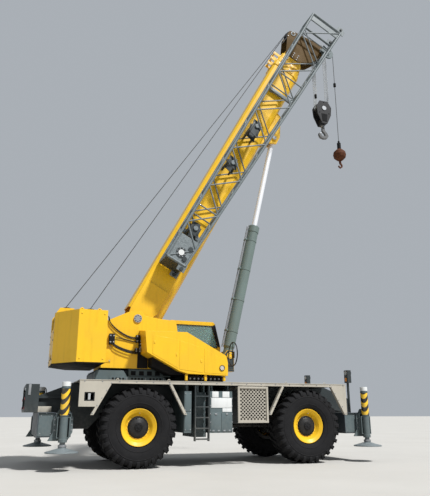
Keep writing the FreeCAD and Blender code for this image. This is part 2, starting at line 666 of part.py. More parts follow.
def rim(corner, end, hand):
    body = at_kingpin("rim_" + corner, end, hand)
    edge = "rim_width / 2"
    inner = "(bead_radius - rim_wall)"
    disc = f"({HUB_MID} + dish_set)"
    barrel = [(f"{HUB_MID} - {edge}", inner), (f"{HUB_MID} - {edge}", "flange_radius"),
              (f"{HUB_MID} - {edge} + 22", "flange_radius"), (f"{HUB_MID} - {edge} + 40", "bead_radius"),
              (f"{HUB_MID} + {edge} - 40", "bead_radius"), (f"{HUB_MID} + {edge} - 22", "flange_radius"),
              (f"{HUB_MID} + {edge}", "flange_radius"), (f"{HUB_MID} + {edge}", "flange_radius - 15"),
              (f"{HUB_MID} + {edge} - 45", "bead_radius - 18"), (disc, "dish_hole"), (disc, "hub_radius - 10"),
              (f"{disc} - 30", "hub_radius - 10"), (f"{disc} - 30", inner)]
    spin(body, "Y", [barrel])
    bore = "spindle_radius + fit_gap"
    spin(body, "Y", [[("hub_start", bore), ("hub_start", "hub_radius"), (f"{disc} + 10", "hub_radius"),
                      (f"{disc} + 45", "0.8 * hub_radius"), (f"{disc} + hub_nose", "0.45 * hub_radius"),
                      (f"{disc} + hub_nose", "0"), ("spindle_long + 8", "0"), ("spindle_long + 8", bore)]])


def tail_frame():
    body = piece("tail_frame")
    back, face = "-tail_back", "-(rear_box + box_pitch)"
    outer = square(("-tail_half", "tail_half"), ("tail_low", "tail_top"))
    inner = square(("-tail_half + tail_bar", "tail_half - tail_bar"),
                   ("tail_low + tail_bar", "tail_top - tail_bar"))
    pad(body, "YZ", [outer, inner], back, face)
    box(body, (f"{face} - 60", face), ("-tail_half + tail_bar", "tail_half - tail_bar"),
        ("tail_low + tail_bar", "tail_top - tail_bar"))
    box(body, (face, "-deck_rear"), ("-rail_out - 60", "-rail_out"), ("rail_end_top - 60", "rail_end_top"))
    box(body, (face, "-deck_rear"), ("rail_out", "rail_out + 60"), ("rail_end_top - 60", "rail_end_top"))
    fin = box(body, (f"{face} - 100", f"{face} - 60"), ("-tail_half + tail_bar + 30", "-tail_half + tail_bar + 36"),
              ("tail_low + tail_bar", "tail_top - tail_bar"))
    row = body.newObject("PartDesign::LinearPattern", "Fins")
    row.Originals = [fin]
    row.Direction = (fin.Profile[0], ["V_Axis"])
    row.setExpression("Length", words("2 * (tail_half - tail_bar - 33)"))
    row.setExpression("Occurrences", words("fin_count"))
    body.Tip = row


def engine_hood():
    body = piece("engine_hood")
    outer = [("-hood_back", "deck_top"), ("-hood_front", "deck_top"), ("-hood_front", "hood_step - 60"),
             ("-hood_front - 60", "hood_step"), ("-hood_front - 1050", "hood_step"),
             ("-hood_front - 1150", "hood_top"), ("-hood_back + 40", "hood_top"),
             ("-hood_back", "hood_top - 60")]
    pad(body, "XZ", [outer], "-hood_half", "hood_half")
    inner = [("-hood_back + hood_wall", "deck_top"), ("-hood_front - hood_wall", "deck_top"),
             ("-hood_front - hood_wall", "hood_step - 66"), ("-hood_front - 66", "hood_step - hood_wall"),
             ("-hood_front - 1060", "hood_step - hood_wall"), ("-hood_front - 1160", "hood_top - hood_wall"),
             ("-hood_back + 46", "hood_top - hood_wall"), ("-hood_back + hood_wall", "hood_top - 66")]
    cut(body, "XZ", [inner], "-hood_half + hood_wall", "hood_half - hood_wall")


def engine_block():
    body = piece("engine")
    box(body, ("-engine_back", "-engine_back + engine_long"), ("-engine_half", "engine_half"),
        ("engine_low", "engine_top"))


def driveline():
    body = piece("driveline")
    front = "(-gearbox_back + gearbox_long)"
    box(body, ("-gearbox_back", front), (f"-{RAIL_IN}", RAIL_IN), ("gearbox_low", "gearbox_top"))
    spin(body, "X", [[(front, "0"), (front, "shaft_radius"),
                      (f"{AXLE} - axle_bowl - 60", "shaft_radius"), (f"{AXLE} - axle_bowl - 40", "80"),
                      (f"{AXLE} - axle_bowl", "80"), (f"{AXLE} - axle_bowl", "0")]], ("0", "0", "shaft_height"))
    spin(body, "X", [[("-gearbox_back", "0"), ("-gearbox_back", "90"), ("-gearbox_back - 60", "shaft_radius"),
                      (f"-{AXLE} + axle_bowl + 60", "shaft_radius"), (f"-{AXLE} + axle_bowl + 40", "80"),
                      (f"-{AXLE} + axle_bowl", "80"), (f"-{AXLE} + axle_bowl", "0")]],
         ("0", "0", "shaft_height"))


# Label, side, rear, front, low, high, outer face
SIDE_TANKS = [("near_locker", RIGHT, "-485", "125", "800", "1830", "wheel_out - trim_deep"),
              ("behind_ladder", RIGHT, "-870", "-545", "700", "1800", "wheel_out - 260"),
              ("near_post", RIGHT, "-1180", "-990", "810", "1820", "wheel_out - trim_deep"),
              ("far_tank", LEFT, "-1000", "1100", "860", "1760", "wheel_out - trim_deep")]


def side_boxes():
    body = piece("side_boxes")
    for _, hand, rear, front, low, high, out in SIDE_TANKS:
        box(body, (rear, front), span(hand, "rail_out", out), (low, high))
        for place in (f"{rear} + 60", f"{front} - 100"):
            box(body, (place, f"{place} + 40"), span(hand, "rail_out", "wheel_out - 200"), (high, DECK_LOW))


def side_ladder():
    body = piece("ladder")
    for place in ("-ladder_rear", "-ladder_front - 30"):
        box(body, (place, f"{place} + 30"), ("-wheel_out + 20", "-wheel_out + 120"), ("ladder_low", DECK_LOW))
    for rung in range(5):
        level = f"(ladder_low + 30 + {rung} * rung_pitch)"
        box(body, ("-ladder_rear + 30", "-ladder_front - 30"), ("-wheel_out + 20", "-wheel_out + 200"),
            (level, f"{level} + 30"))


def mesh_guard():
    """A framed sheet with rows of diamond holes, on two brackets."""
    outer, back = "-wheel_out + 10", "-wheel_out + 60"
    frame = [brick(("guard_rear", "guard_front"), (outer, back), z) for z in
             (("guard_low", "guard_low + guard_bar"), ("guard_high - guard_bar", "guard_high"))]
    frame += [brick(x, (outer, back), ("guard_low", "guard_high")) for x in
              (("guard_rear", "guard_rear + guard_bar"), ("guard_front - guard_bar", "guard_front"))]
    sheet = brick(("guard_rear + guard_bar", "guard_front - guard_bar"), ("-wheel_out + 46", "-wheel_out + 58"),
                  ("guard_low + guard_bar", "guard_high - guard_bar"))
    columns, rows = 8, 9
    wide = number("guard_front - guard_rear - 2 * guard_bar") / columns
    tall = number("guard_high - guard_low - 2 * guard_bar") / rows
    left, low, web = number("guard_rear + guard_bar"), number("guard_low + guard_bar"), number("guard_web")
    holes = []
    for column in range(2 * columns - 1):
        for row in range(rows - column % 2):
            x = left + (column + 1) * wide / 2
            z = low + (row + 0.5 + (column % 2) / 2) * tall
            half_x, half_z = wide / 2 - web, tall / 2 - web
            corners = [Vector(x + a * half_x, number("-wheel_out + 40"), z + b * half_z)
                       for a, b in ((1, 0), (0, 1), (-1, 0), (0, -1))]
            holes.append(flat_face(corners).extrude(Vector(0, 24, 0)))
    sheet = sheet.cut(Part.makeCompound(holes))
    arms = []
    for place in ("400", "960"):
        across = (place, f"{place} + 40")
        arms.append(brick(across, (back, "-rail_out"), ("guard_high - guard_bar", "guard_high")))
        arms.append(brick(across, ("-wheel_out + 20", back), ("guard_high", DECK_LOW)))
    free_piece("mesh_panel", fused(frame + [sheet] + arms))


def slewing_ring():
    body = piece("slew_pedestal")
    outer = "ring_radius"
    spin(body, "Z", [[("deck_top", f"{outer} - 200"), ("deck_top", f"{outer} + 40"),
                      ("deck_top + 20", f"{outer} + 40"), ("ring_top - ring_tall", "ring_radius - 30"),
                      ("ring_top - ring_tall", "ring_radius"), ("ring_top", "ring_radius"),
                      ("ring_top", f"{outer} - 200"), ("deck_top + 200", f"{outer} - 200")]],
         ("-slew_x", "0", "0"))


def lamps():
    body = piece("lamps_and_posts")
    for hand in (LEFT, RIGHT):
        box(body, ("post_x - 25", "post_x + 25"), span(hand, "post_out - 25", "post_out + 25"), (BOX_TOP, "2130"))
        box(body, ("post_x - 50", "post_x + 70"), span(hand, "post_out - 90", "post_out + 90"), ("2130", "2490"))
        box(body, ("-lamp_rear - 30", "-lamp_front + 30"),
            span(hand, "wheel_out - trim_thick - 40", "wheel_out - trim_thick"), ("lamp_low - 30", "lamp_high + 30"))
        box(body, ("-lamp_rear + fit_gap", "-lamp_front - fit_gap"),
            span(hand, "wheel_out - trim_thick", "wheel_out - 8"), ("lamp_low + fit_gap", "lamp_high - fit_gap"))


# Slewing superstructure

def turntable():
    body = piece("turntable")
    pad(body, "XY", [("round", "-slew_x", "0", "ring_radius - 20")], f"ring_top + fit_gap", "base_top")
    box(body, ("-weight_front", "cheek_front"), (f"-{CHEEK_IN}", CHEEK_IN), ("base_low", "base_top"))
    side = [("-weight_front", "base_low"), ("cheek_front", "base_low"), ("cheek_front", "base_top + 140"),
            ("-700", "2900"), ("-1100", "3300"), ("-pivot_x + 1085", "pivot_z"), ("-pivot_x + 665", "pivot_z + 20"),
            ("-pivot_x + 220", "cheek_top - 110"), ("-pivot_x + 115", "cheek_top"), ("-pivot_x - 115", "cheek_top"),
            ("-pivot_x - 235", "cheek_top - 20"), ("-weight_front + 120", "pivot_z - 90"),
            ("-weight_front", "pivot_z - 150")]
    for hand in (LEFT, RIGHT):
        pad(body, "XZ", [side], *span(hand, CHEEK_IN, "cheek_out"))
        pad(body, "XZ", [("round", "-pivot_x", "pivot_z", "pivot_cap")], *span(hand, "cheek_out", "cheek_out + 24"))
        ear = [("foot_x - 420", "base_top"), ("foot_x + 120", "base_top"), ("foot_x + 130", "foot_z + 60"),
               ("foot_x + 80", "foot_z + 150"), ("foot_x - 80", "foot_z + 150"), ("foot_x - 190", "foot_z")]
        inner = f"({FOOT_HALF} + ear_gap)"
        pad(body, "XZ", [ear], *span(hand, inner, f"{inner} + ear_plate"))
        pad(body, "XZ", [("round", "foot_x", "foot_z", "lift_pin + 25")],
            *span(hand, f"{inner} + ear_plate", f"{inner} + ear_plate + 30"))
    nose = f"({FOOT_HALF} + ear_gap + ear_plate)"
    box(body, ("cheek_front", "foot_x + 120"), (f"-{nose}", nose), ("base_low + 20", "base_top"))
    pad(body, "XZ", [("round", "-pivot_x", "pivot_z", "pivot_radius")], f"-{CHEEK_IN}", CHEEK_IN)


def counterweight():
    body = piece("counterweight")
    plan = [("-weight_front", "-weight_half"), ("-weight_side", "-weight_half"),
            ("-weight_back", "-weight_rear_half"), ("-weight_back", "weight_rear_half"),
            ("-weight_side", "weight_half"), ("-weight_front", "weight_half")]
    pad(body, "XY", [plan], "weight_low", "weight_top")
    cut(body, "XY", [square(("-weight_back - 10", "-weight_front + 10"), ("-well_half", "well_half"))],
        "well_floor", "weight_top")


def drum_places():
    height = "(well_floor + drum_lift + drum_flange)"
    return [("-main_drum", height), ("-aux_drum", height)]


def hoist_frames():
    body = piece("hoist_frames")
    for x, z in drum_places():
        for hand in (LEFT, RIGHT):
            plate = span(hand, "drum_half + 20", "drum_half + 20 + hoist_plate")
            pad(body, "XZ", [[(f"{x} - 300", "well_floor"), (f"{x} + 300", "well_floor"),
                              (f"{x} + 300", f"{z} + 60"), (f"{x} + 180", f"{z} + 250"),
                              (f"{x} - 180", f"{z} + 250"), (f"{x} - 300", f"{z} + 60")]], *plate)


def hoist_drums():
    body = piece("hoist_drums")
    for x, z in drum_places():
        spin(body, "Y", [[("-drum_half - 20 + fit_gap", "0"), ("-drum_half - 20 + fit_gap", "90"), ("-drum_half", "90"),
                          ("-drum_half", "drum_flange"), ("-drum_half + 25", "drum_flange"),
                          ("-drum_half + 25", "drum_radius"), ("drum_half - 25", "drum_radius"),
                          ("drum_half - 25", "drum_flange"), ("drum_half", "drum_flange"), ("drum_half", "90"),
                          ("drum_half + 20 - fit_gap", "90"), ("drum_half + 20 - fit_gap", "0")]], (x, "0", z))


def side_housing():
    body = piece("side_housing")
    outer = [("-2205", "3330"), ("-2145", "2790"), ("-1255", "2330"), ("-1035", "2270"), ("85", "2240"),
             ("85", "2580"), ("45", "2760"), ("-1075", "3350")]
    inner = [("-2205", "3440"), ("-2145", "2790"), ("-1255", "2330"), ("-1035", "2270"), ("85", "2240"),
             ("85", "2580"), ("70", "2800"), ("-1050", "3450")]
    loft(body, "XZ", [("-side_hood_out", outer), ("-cheek_out", inner)])


CAB_SIDE = [("-cab_rear", "cab_low"), ("cab_front - 120", "cab_low"), ("cab_front", "cab_low + 260"),
            ("cab_front", "cab_belt"), ("cab_roof_front", "cab_top - 60"), ("cab_roof_front - 60", "cab_top"),
            ("-cab_rear + 60", "cab_top"), ("-cab_rear", "cab_top - 60")]
CAB_INSIDE = [("-cab_rear + cab_wall", "cab_low + cab_wall"), ("cab_front - 140", "cab_low + cab_wall"),
              ("cab_front - cab_wall", "cab_low + 280"), ("cab_front - cab_wall", "cab_belt - 5"),
              ("cab_roof_front - 45", "cab_top - 80"), ("cab_roof_front - 70", "cab_top - cab_wall"),
              ("-cab_rear + 80", "cab_top - cab_wall"), ("-cab_rear + cab_wall", "cab_top - 80")]
SIDE_WINDOW = [("-cab_rear + cab_post + 30", "cab_belt - 20"), ("cab_front - cab_post - 20", "cab_belt - 20"),
               ("cab_roof_front - cab_post - 40", "cab_top - 130"), ("-cab_rear + cab_post + 30", "cab_top - 130")]
DOOR_HOLE = square(("-door_rear + 40", "door_front - 40"), ("door_low + 40", "door_top - 40"))
REAR_WINDOW = square(("cheek_out + 110", "cab_out - 110"), ("cab_belt", "cab_top - 130"))
FRONT_WINDOW = square(("cheek_out + cab_post", "cab_out - cab_post"), ("cab_belt + 40", "cab_top - 110"))


def cab_shell():
    body = piece("cab_shell")
    pad(body, "XZ", [CAB_SIDE], "cheek_out", "cab_out")
    cut(body, "XZ", [CAB_INSIDE], "cheek_out + cab_wall", "cab_out - cab_wall")
    cut(body, "XZ", [SIDE_WINDOW], "cheek_out - 10", "cheek_out + cab_wall + 10")
    cut(body, "XZ", [DOOR_HOLE], "cab_out - cab_wall - 10", "cab_out + 10")
    cut(body, "YZ", [REAR_WINDOW], "-cab_rear - 10", "-cab_rear + cab_wall + 10")
    cut(body, "YZ", [FRONT_WINDOW], "cab_roof_front - 120", "cab_front + 10")
    rail = "(cab_out + door_gap + door_thick)"
    for level in ("door_top + 12", "door_low - 42"):
        box(body, ("-cab_rear + 10", "door_front + 20"), ("cab_out", rail), (level, f"{level} + 30"))


def cab_glass():
    body = piece("cab_glass")
    pad(body, "XZ", [SIDE_WINDOW], "cheek_out + 12", "cheek_out + 12 + glass_thick")
    pad(body, "YZ", [REAR_WINDOW], "-cab_rear + 12", "-cab_rear + 12 + glass_thick")
    slope = "((cab_front - cab_roof_front) / (cab_top - 60 - cab_belt))"
    low, high = "(cab_belt + 40)", "(cab_top - 110)"
    back = "22"
    pane = [(f"cab_front - {back} - {slope} * 40", low), (f"cab_front - {back} - glass_thick - {slope} * 40", low),
            (f"cab_front - {back} - glass_thick - {slope} * ({high} - cab_belt)", high),
            (f"cab_front - {back} - {slope} * ({high} - cab_belt)", high)]
    pad(body, "XZ", [pane], "cheek_out + cab_post", "cab_out - cab_post")


def cab_interior():
    body = piece("cab_interior")
    floor = "(cab_low + cab_wall)"
    box(body, ("-500", "-20"), ("cheek_out + 160", "cab_out - 170"), (floor, f"{floor} + 380"))
    box(body, ("-520", "0"), ("cheek_out + 140", "cab_out - 150"), (f"{floor} + 380", f"{floor} + 520"))
    pad(body, "XZ", [[("-520", f"{floor} + 520"), ("-400", f"{floor} + 520"), ("-480", f"{floor} + 1250"),
                      ("-590", f"{floor} + 1250")]], "cheek_out + 140", "cab_out - 150")
    pad(body, "XZ", [[("300", floor), ("470", floor), ("500", f"{floor} + 300"), ("500", f"{floor} + 800"),
                      ("380", f"{floor} + 860")]],
        "cheek_out + 180", "cab_out - 190")


def cab_door():
    body = piece("cab_door")
    low, high = "(cab_out + door_gap)", "(cab_out + door_gap + door_thick)"
    outer = square(("-door_rear", "door_front"), ("door_low", "door_top"))
    window = square(("-door_rear + cab_post", "door_front - cab_post"), ("cab_belt - 120", "door_top - cab_post"))
    pad(body, "XZ", [outer, window], low, high)
    pad(body, "XZ", [window], f"{low} + 12", f"{low} + 12 + glass_thick")
    for place in ("-door_rear + 40", "door_front - 120"):
        box(body, (place, f"{place} + 80"), (low, high), ("door_top", "door_top + 12 - fit_gap"))
        box(body, (place, f"{place} + 80"), (low, high), ("door_low - 12 + fit_gap", "door_low"))


def mirror_hoop():
    body = piece("mirror_hoop")
    middle = ("-hoop_out", "hoop_mid")
    pad(body, "YZ", [("round", *middle, "hoop_radius"), ("round", *middle, "hoop_radius - 20")],
        "hoop_x", "hoop_x + 25")
    box(body, ("hoop_x + 2", "hoop_x + 22"), ("-hoop_out - 100", "-hoop_out + 60"), ("hoop_mid - 110", "hoop_mid + 60"))
    box(body, ("hoop_x + 4", "hoop_x + 20"), ("-hoop_out - 10", "-hoop_out + 10"),
        ("hoop_mid - hoop_radius + 5", "hoop_mid + hoop_radius - 5"))
    box(body, ("85", "hoop_x + 10"), ("-hoop_out - 15", "-hoop_out + 15"),
        ("hoop_mid - hoop_radius - 15", "hoop_mid - hoop_radius + 15"))


# Telescopic boom; drawn along X with the pivot at the origin, then raised to its rest angle

def on_boom(label):
    body = piece(label, ("-pivot_x", "0", "pivot_z"), (0, -1, 0), number("luff_rest"))
    body.setExpression("Placement.Rotation.Angle", words("luff_rest"))
    return body


# Sections: label, how many steps smaller than the base, rear end, front end
SECTIONS = [("boom_base", 0, "base_tail", "base_nose"),
            ("boom_mid_inner", 1, "base_tail + tail_pitch", "base_nose + collar_pitch"),
            ("boom_mid_outer", 2, "base_tail + 2 * tail_pitch", "base_nose + 2 * collar_pitch"),
            ("boom_fly", 3, "base_tail + 3 * tail_pitch", "fly_nose")]


FLY_HALF = "((boom_wide - 3 * boom_step) / 2)"


def section_outline(step, inset):
    """Flat top with small folds, upright sides, and a bottom folded towards a keel."""
    wide = f"((boom_wide - {step} * boom_step) / 2 - ({inset}))"
    deep = f"((boom_deep - {step} * boom_step) / 2 - ({inset}))"
    half = [("0.84", "1"), ("1", "0.88"), ("1", "-0.55"), ("0.78", "-0.86"), ("0.38", "-1")]
    right = [(f"{a} * {wide}", f"{b} * {deep} - boom_drop") for a, b in half]
    return right + [(f"-{a} * {wide}", f"{b} * {deep} - boom_drop") for a, b in reversed(half)]


def boom_section(label, step, tail, nose):
    body = on_boom(label)
    pad(body, "YZ", [section_outline(step, "0"), section_outline(step, "boom_wall")], tail, nose)
    if step == 3:
        return body
    pad(body, "YZ", [section_outline(step, "-collar_proud"), section_outline(step, "boom_wall / 2")],
        f"{nose} - collar_long", nose)
    roof = f"((boom_deep - {step} * boom_step) / 2 - boom_drop)"
    reach = f"{FLY_HALF} * 0.45"
    for hand in (LEFT, RIGHT):
        box(body, (f"{nose} - 130", f"{nose} - 30"), span(hand, reach, f"{reach} + 16"), (f"{roof} - 5", "guide_height + 45"))
    pad(body, "XZ", [("round", f"{nose} - 80", "guide_height", "28")], f"-{reach}", reach)
    top = f"((boom_deep - {step} * boom_step) / 2 - boom_wall)"
    seat = f"((boom_deep - {step + 1} * boom_step) / 2 + fit_gap)"
    half = f"(0.3 * (boom_wide - {step + 1} * boom_step) / 2)"
    place = (f"{nose} - pad_long", nose)
    box(body, place, (f"-{half}", half), (f"{seat} - boom_drop", f"{top} + 2 - boom_drop"))
    box(body, place, (f"-{half}", half), (f"-{top} - 2 - boom_drop", f"-{seat} - boom_drop"))
    return body


def boom_base_fittings(body):
    half = "(boom_wide / 2)"
    depth = "(boom_deep / 2)"
    low, high = f"-{depth} * 0.55 - boom_drop", f"{depth} * 0.88 - boom_drop"
    lug = [("0", "-lug_radius"), ("base_tail + 200", low), ("base_tail + 900", low),
           ("base_tail + 900", high), ("base_tail", high), ("0", "lug_radius")]
    for hand in (LEFT, RIGHT):
        place = span(hand, half, f"{half} + lug_thick")
        pad(body, "XZ", [lug], *place)
        pad(body, "XZ", [("round", "0", "0", "lug_radius")], *place)
        pad(body, "XZ", [("round", "0", "0", "pivot_radius + 70")],
            *span(hand, f"{half} + lug_thick", f"{CHEEK_IN} - 6"))
        keel = f"(-{depth} - boom_drop)"
        ear = [("lift_out - 520", f"{keel} + 20"), ("lift_out + 960", f"{keel} + 20"),
               ("lift_out + 900", f"{keel} - 130"), ("lift_out + 170", "-lift_drop - 160"),
               ("lift_out - 140", "-lift_drop - 160"), ("lift_out - 330", f"{keel} - 130")]
        inner = "(eye_half + ear_gap)"
        pad(body, "XZ", [ear], *span(hand, inner, f"{inner} + ear_plate"))
        pad(body, "XZ", [("round", "lift_out", "-lift_drop", "lift_pin + 25")],
            *span(hand, f"{inner} + ear_plate", f"{inner} + ear_plate + 30"))
    pad(body, "XZ", [("round", "0", "0", "pivot_radius + 70")], f"-{half}", half)
    cut(body, "XZ", [("round", "0", "0", "pivot_radius + fit_gap")], "-cheek_out", "cheek_out")
    pad(body, "XZ", [("round", "lift_out", "-lift_drop", "lift_pin")], "-(eye_half + ear_gap)",
        "(eye_half + ear_gap)")


def boom():
    for label, step, tail, nose in SECTIONS:
        body = boom_section(label, step, tail, nose)
        if step == 0:
            boom_base_fittings(body)


def boom_head():
    body = on_boom("boom_head")
    half = FLY_HALF
    plate = [("fly_nose - 200", "-340"), ("fly_nose + 150", "-sheave_drop + 150"),
             ("sheave_out - 200", "-sheave_drop - 130"), ("sheave_out + 130", "-sheave_drop - 130"),
             ("sheave_out + 220", "-sheave_drop + 80"), ("idler_out + 120", "idler_rise"),
             ("idler_out + 20", "idler_rise + 170"), ("idler_out - 180", "idler_rise + 170"),
             ("fly_nose - 200", "170")]
    for hand in (LEFT, RIGHT):
        pad(body, "XZ", [plate], *span(hand, half, f"{half} + head_plate"))
    for out, drop in (("sheave_out", "-sheave_drop"), ("idler_out", "idler_rise")):
        pad(body, "XZ", [("round", out, drop, "head_pin")], f"-{half} - head_plate - 30",
            f"{half} + head_plate + 30")


def sheave_outline(side, radius, bore):
    """A wheel with a groove that the rope lies in."""
    half, groove = "sheave_thick / 2", "(rope_radius + 4 * fit_gap)"
    return [(f"{side} - {half}", bore), (f"{side} - {half}", radius), (f"{side} - {groove}", radius),
            (f"{side} - {groove}", f"{radius} - groove_deep"), (f"{side} + {groove}", f"{radius} - groove_deep"),
            (f"{side} + {groove}", radius), (f"{side} + {half}", radius), (f"{side} + {half}", bore)]


def rope_seat(radius):
    return f"({radius} - groove_deep + rope_radius + fit_gap)"


def sheave(body, out, drop, side, radius):
    spin(body, "Y", [sheave_outline(side, radius, "head_pin + fit_gap")], (out, "0", drop))


def head_sheaves():
    body = on_boom("head_sheaves")
    for place in range(6):
        sheave(body, "sheave_out", "-sheave_drop", f"({place} - 2.5) * sheave_pitch", "sheave_radius")
    for hand in (-1, 1):
        sheave(body, "idler_out", "idler_rise", f"{hand} * sheave_pitch", "idler_radius")


def aux_nose():
    body = on_boom("aux_nose")
    half = f"({FLY_HALF} + head_plate)"
    plate = [("sheave_out - 150", "-sheave_drop + 60"), ("sheave_out + 150", "-sheave_drop + 60"),
             ("aux_out + 90", "-aux_drop - 60"), ("aux_out - 90", "-aux_drop - 60"),
             ("sheave_out - 150", "-sheave_drop - 100")]
    for side in ("-aux_side - sheave_thick / 2 - 16", "-aux_side + sheave_thick / 2 + 4"):
        pad(body, "XZ", [plate], side, f"{side} + 12")
    pad(body, "XZ", [("round", "sheave_out - 100", "-sheave_drop - 78", "48")], "-aux_side + sheave_thick / 2 + 10",
        f"-{half}")
    pad(body, "XZ", [("round", "aux_out", "-aux_drop", "head_pin")], "-aux_side - sheave_thick / 2 - 30",
        "-aux_side + sheave_thick / 2 + 30")
    sheave(body, "aux_out", "-aux_drop", "-aux_side", "aux_radius")


# Swing-away jib, stowed beside the base section: place along the boom, top and bottom of the frame
JIB_FRAMES = [("jib_tail", "250", "-350"), ("jib_nose", "140", "-1070")]


def jib_point(share, side, top):
    """A point on a chord, share 0 at the narrow end and 1 at the wide end."""
    (tail, *tail_heights), (nose, *nose_heights) = JIB_FRAMES
    row = 0 if top else 1
    low, high = number(tail_heights[row]), number(nose_heights[row])
    out = number(tail) + share * number("jib_nose - jib_tail")
    return Vector(out, -number("jib_in") - side * number("jib_wide"), low + share * (high - low))


def jib():
    """Four chords, end frames and zigzag lacing on the four faces, in bays that grow with the depth."""
    chord, lace, bays = number("jib_chord"), number("jib_lace"), int(number("jib_bays"))
    lengths = [1 + 0.9 * bay / bays for bay in range(bays)]
    stations = [sum(lengths[:bay]) / sum(lengths) for bay in range(bays + 1)]
    rise, side_on = Vector(0, 0, 1), Vector(0, 1, 0)
    bars = []
    for side in (0, 1):
        for top in (True, False):
            bars.append(bar(jib_point(-chord / 10810, side, top), jib_point(1 + chord / 10810, side, top), chord, rise))
    rings = [(0, True), (1, True), (1, False), (0, False)]
    for share, half in ((0, chord), (1, chord), (stations[3], lace), (stations[10], lace)):
        for (a, a_top), (b, b_top) in zip(rings, rings[1:] + rings[:1]):
            facing = rise if a_top == b_top else side_on
            bars.append(bar(jib_point(share, a, a_top), jib_point(share, b, b_top), half, facing))
    for bay in range(bays):
        near, far = stations[bay], stations[bay + 1]
        for (a, a_top), (b, b_top) in zip(rings, rings[1:] + rings[:1]):
            first, second = ((a, a_top), (b, b_top)) if bay % 2 == 0 else ((b, b_top), (a, a_top))
            facing = rise if a_top == b_top else side_on
            bars.append(bar(jib_point(near, *first), jib_point(far, *second), lace, facing))
    for side in (0, 1):
        at = jib_point(0, side, False)
        bars.append(Part.makeBox(240, 24, 250, at + Vector(-200, -12, -60)))
        bars.append(Part.makeBox(300, 24, 300, jib_point(1, side, False) + Vector(-60, -12, -120)))
    for place in ("3000", "9300"):
        share = number(f"({place} + 60 - jib_tail) / (jib_nose - jib_tail)")
        high, low = jib_point(share, 0, True), jib_point(share, 0, False)
        bars.append(Part.makeBox(120, 2 * chord, high.z - low.z, low + Vector(-60, -chord, 0)))
        bars.append(brick((place, f"{place} + 120"), ("-jib_in", "-boom_wide / 2"), ("-100", "0")))
    free_piece("jib", fused(bars), ("-pivot_x", "0", "pivot_z"), (0, -1, 0), number("luff_rest"))


def head_point(out, drop):
    """A point of the boom in the machine's frame at rest."""
    x = f"(-pivot_x + ({out}) * cos(luff_rest) + ({drop}) * sin(luff_rest))"
    z = f"(pivot_z + ({out}) * sin(luff_rest) - ({drop}) * cos(luff_rest))"
    return x, z


FALL_PLACES = (-1.5, -0.5, 0.5, 1.5)


def hook_block():
    x, z = head_point("sheave_out", "sheave_drop")
    body = piece("hook_block", (x, "0", z))
    low = "(-falls_long)"
    half = "block_wide / 2"
    plate = [(f"-{half} * 0.55", f"{low} + 60"), (f"-{half}", f"{low} - 170"), (f"-{half} * 0.9", f"{low} - 480"),
             (f"-{half} * 0.35", f"{low} - block_tall"), (f"{half} * 0.35", f"{low} - block_tall"),
             (f"{half} * 0.9", f"{low} - 480"), (half, f"{low} - 170"), (f"{half} * 0.55", f"{low} + 60")]
    for hand in (LEFT, RIGHT):
        pad(body, "XZ", [plate], *span(hand, "block_half - 30", "block_half"))
    pad(body, "XZ", [("round", "0", f"{low} - 230", "40")], "-block_half + 30", "block_half - 30")
    for place in FALL_PLACES:
        spin(body, "Y", [sheave_outline(f"({place} * sheave_pitch)", "sheave_radius", "40")],
             ("0", "0", f"{low} - 230"))
    box(body, ("-90", "90"), ("-block_half + 30", "block_half - 30"), (f"{low} - block_tall", f"{low} - 620"))
    shank = f"({low} - block_tall)"
    pad(body, "XY", [("round", "0", "0", "45")], f"{shank} - 140", shank)
    hook = [("-45", f"{shank} - 130"), ("45", f"{shank} - 130"), ("60", f"{shank} - 230"), ("150", f"{shank} - 320"),
            ("190", f"{shank} - 430"), ("130", f"{shank} - 530"), ("0", f"{shank} - hook_tall"),
            ("-130", f"{shank} - 530"), ("-190", f"{shank} - 430"), ("-180", f"{shank} - 350"),
            ("-110", f"{shank} - 370"), ("-85", f"{shank} - 440"), ("0", f"{shank} - 470"),
            ("70", f"{shank} - 420"), ("40", f"{shank} - 340"), ("-45", f"{shank} - 260")]
    pad(body, "XZ", [hook], "-45", "45")


def main_falls():
    x, z = head_point("sheave_out", "sheave_drop")
    body = piece("main_falls", (x, "0", z))
    for place in FALL_PLACES:
        for way in (-1, 1):
            pad(body, "XY", [("round", f"{way} * {rope_seat('sheave_radius')}", f"{place} * sheave_pitch", "rope_radius")],
                "-falls_long - 230", "0")


def ball_and_line():
    x, z = head_point("aux_out", "aux_drop")
    body = piece("ball", (f"{x} + {rope_seat('aux_radius')}", "-aux_side", z))
    top = "(-aux_fall)"
    spin(body, "Z", [[("0", "0"), ("0", "rope_radius"), (f"{top} + 260", "rope_radius"),
                      (f"{top} + 240", "50"), (top, "60"), (f"{top} - 0.1 * ball_radius", "0.45 * ball_radius"),
                      (f"{top} - 0.55 * ball_radius", "0.9 * ball_radius"), (f"{top} - ball_radius", "ball_radius"),
                      (f"{top} - 1.45 * ball_radius", "0.9 * ball_radius"),
                      (f"{top} - 1.9 * ball_radius", "0.45 * ball_radius"),
                      (f"{top} - 2 * ball_radius", "40"), (f"{top} - 2 * ball_radius - 80", "40"),
                      (f"{top} - 2 * ball_radius - 80", "0")]])
    low = f"({top} - 2 * ball_radius)"
    hook = [("-25", f"{low} - 70"), ("25", f"{low} - 70"), ("80", f"{low} - 160"), ("80", f"{low} - 240"),
            ("0", f"{low} - 300"), ("-80", f"{low} - 240"), ("-80", f"{low} - 200"), ("-45", f"{low} - 200"),
            ("-35", f"{low} - 235"), ("0", f"{low} - 250"), ("35", f"{low} - 210"), ("30", f"{low} - 170"),
            ("-25", f"{low} - 120")]
    pad(body, "XZ", [hook], "-22", "22")


# Lift cylinder, drawn along X from the rod's eye towards the foot

def lift_line():
    x, z = head_point("lift_out", "lift_drop")
    dx, dz = number(f"foot_x - {x}"), number(f"foot_z - {z}")
    return (x, "0", z), math.hypot(dx, dz), math.degrees(math.atan2(-dz, dx))


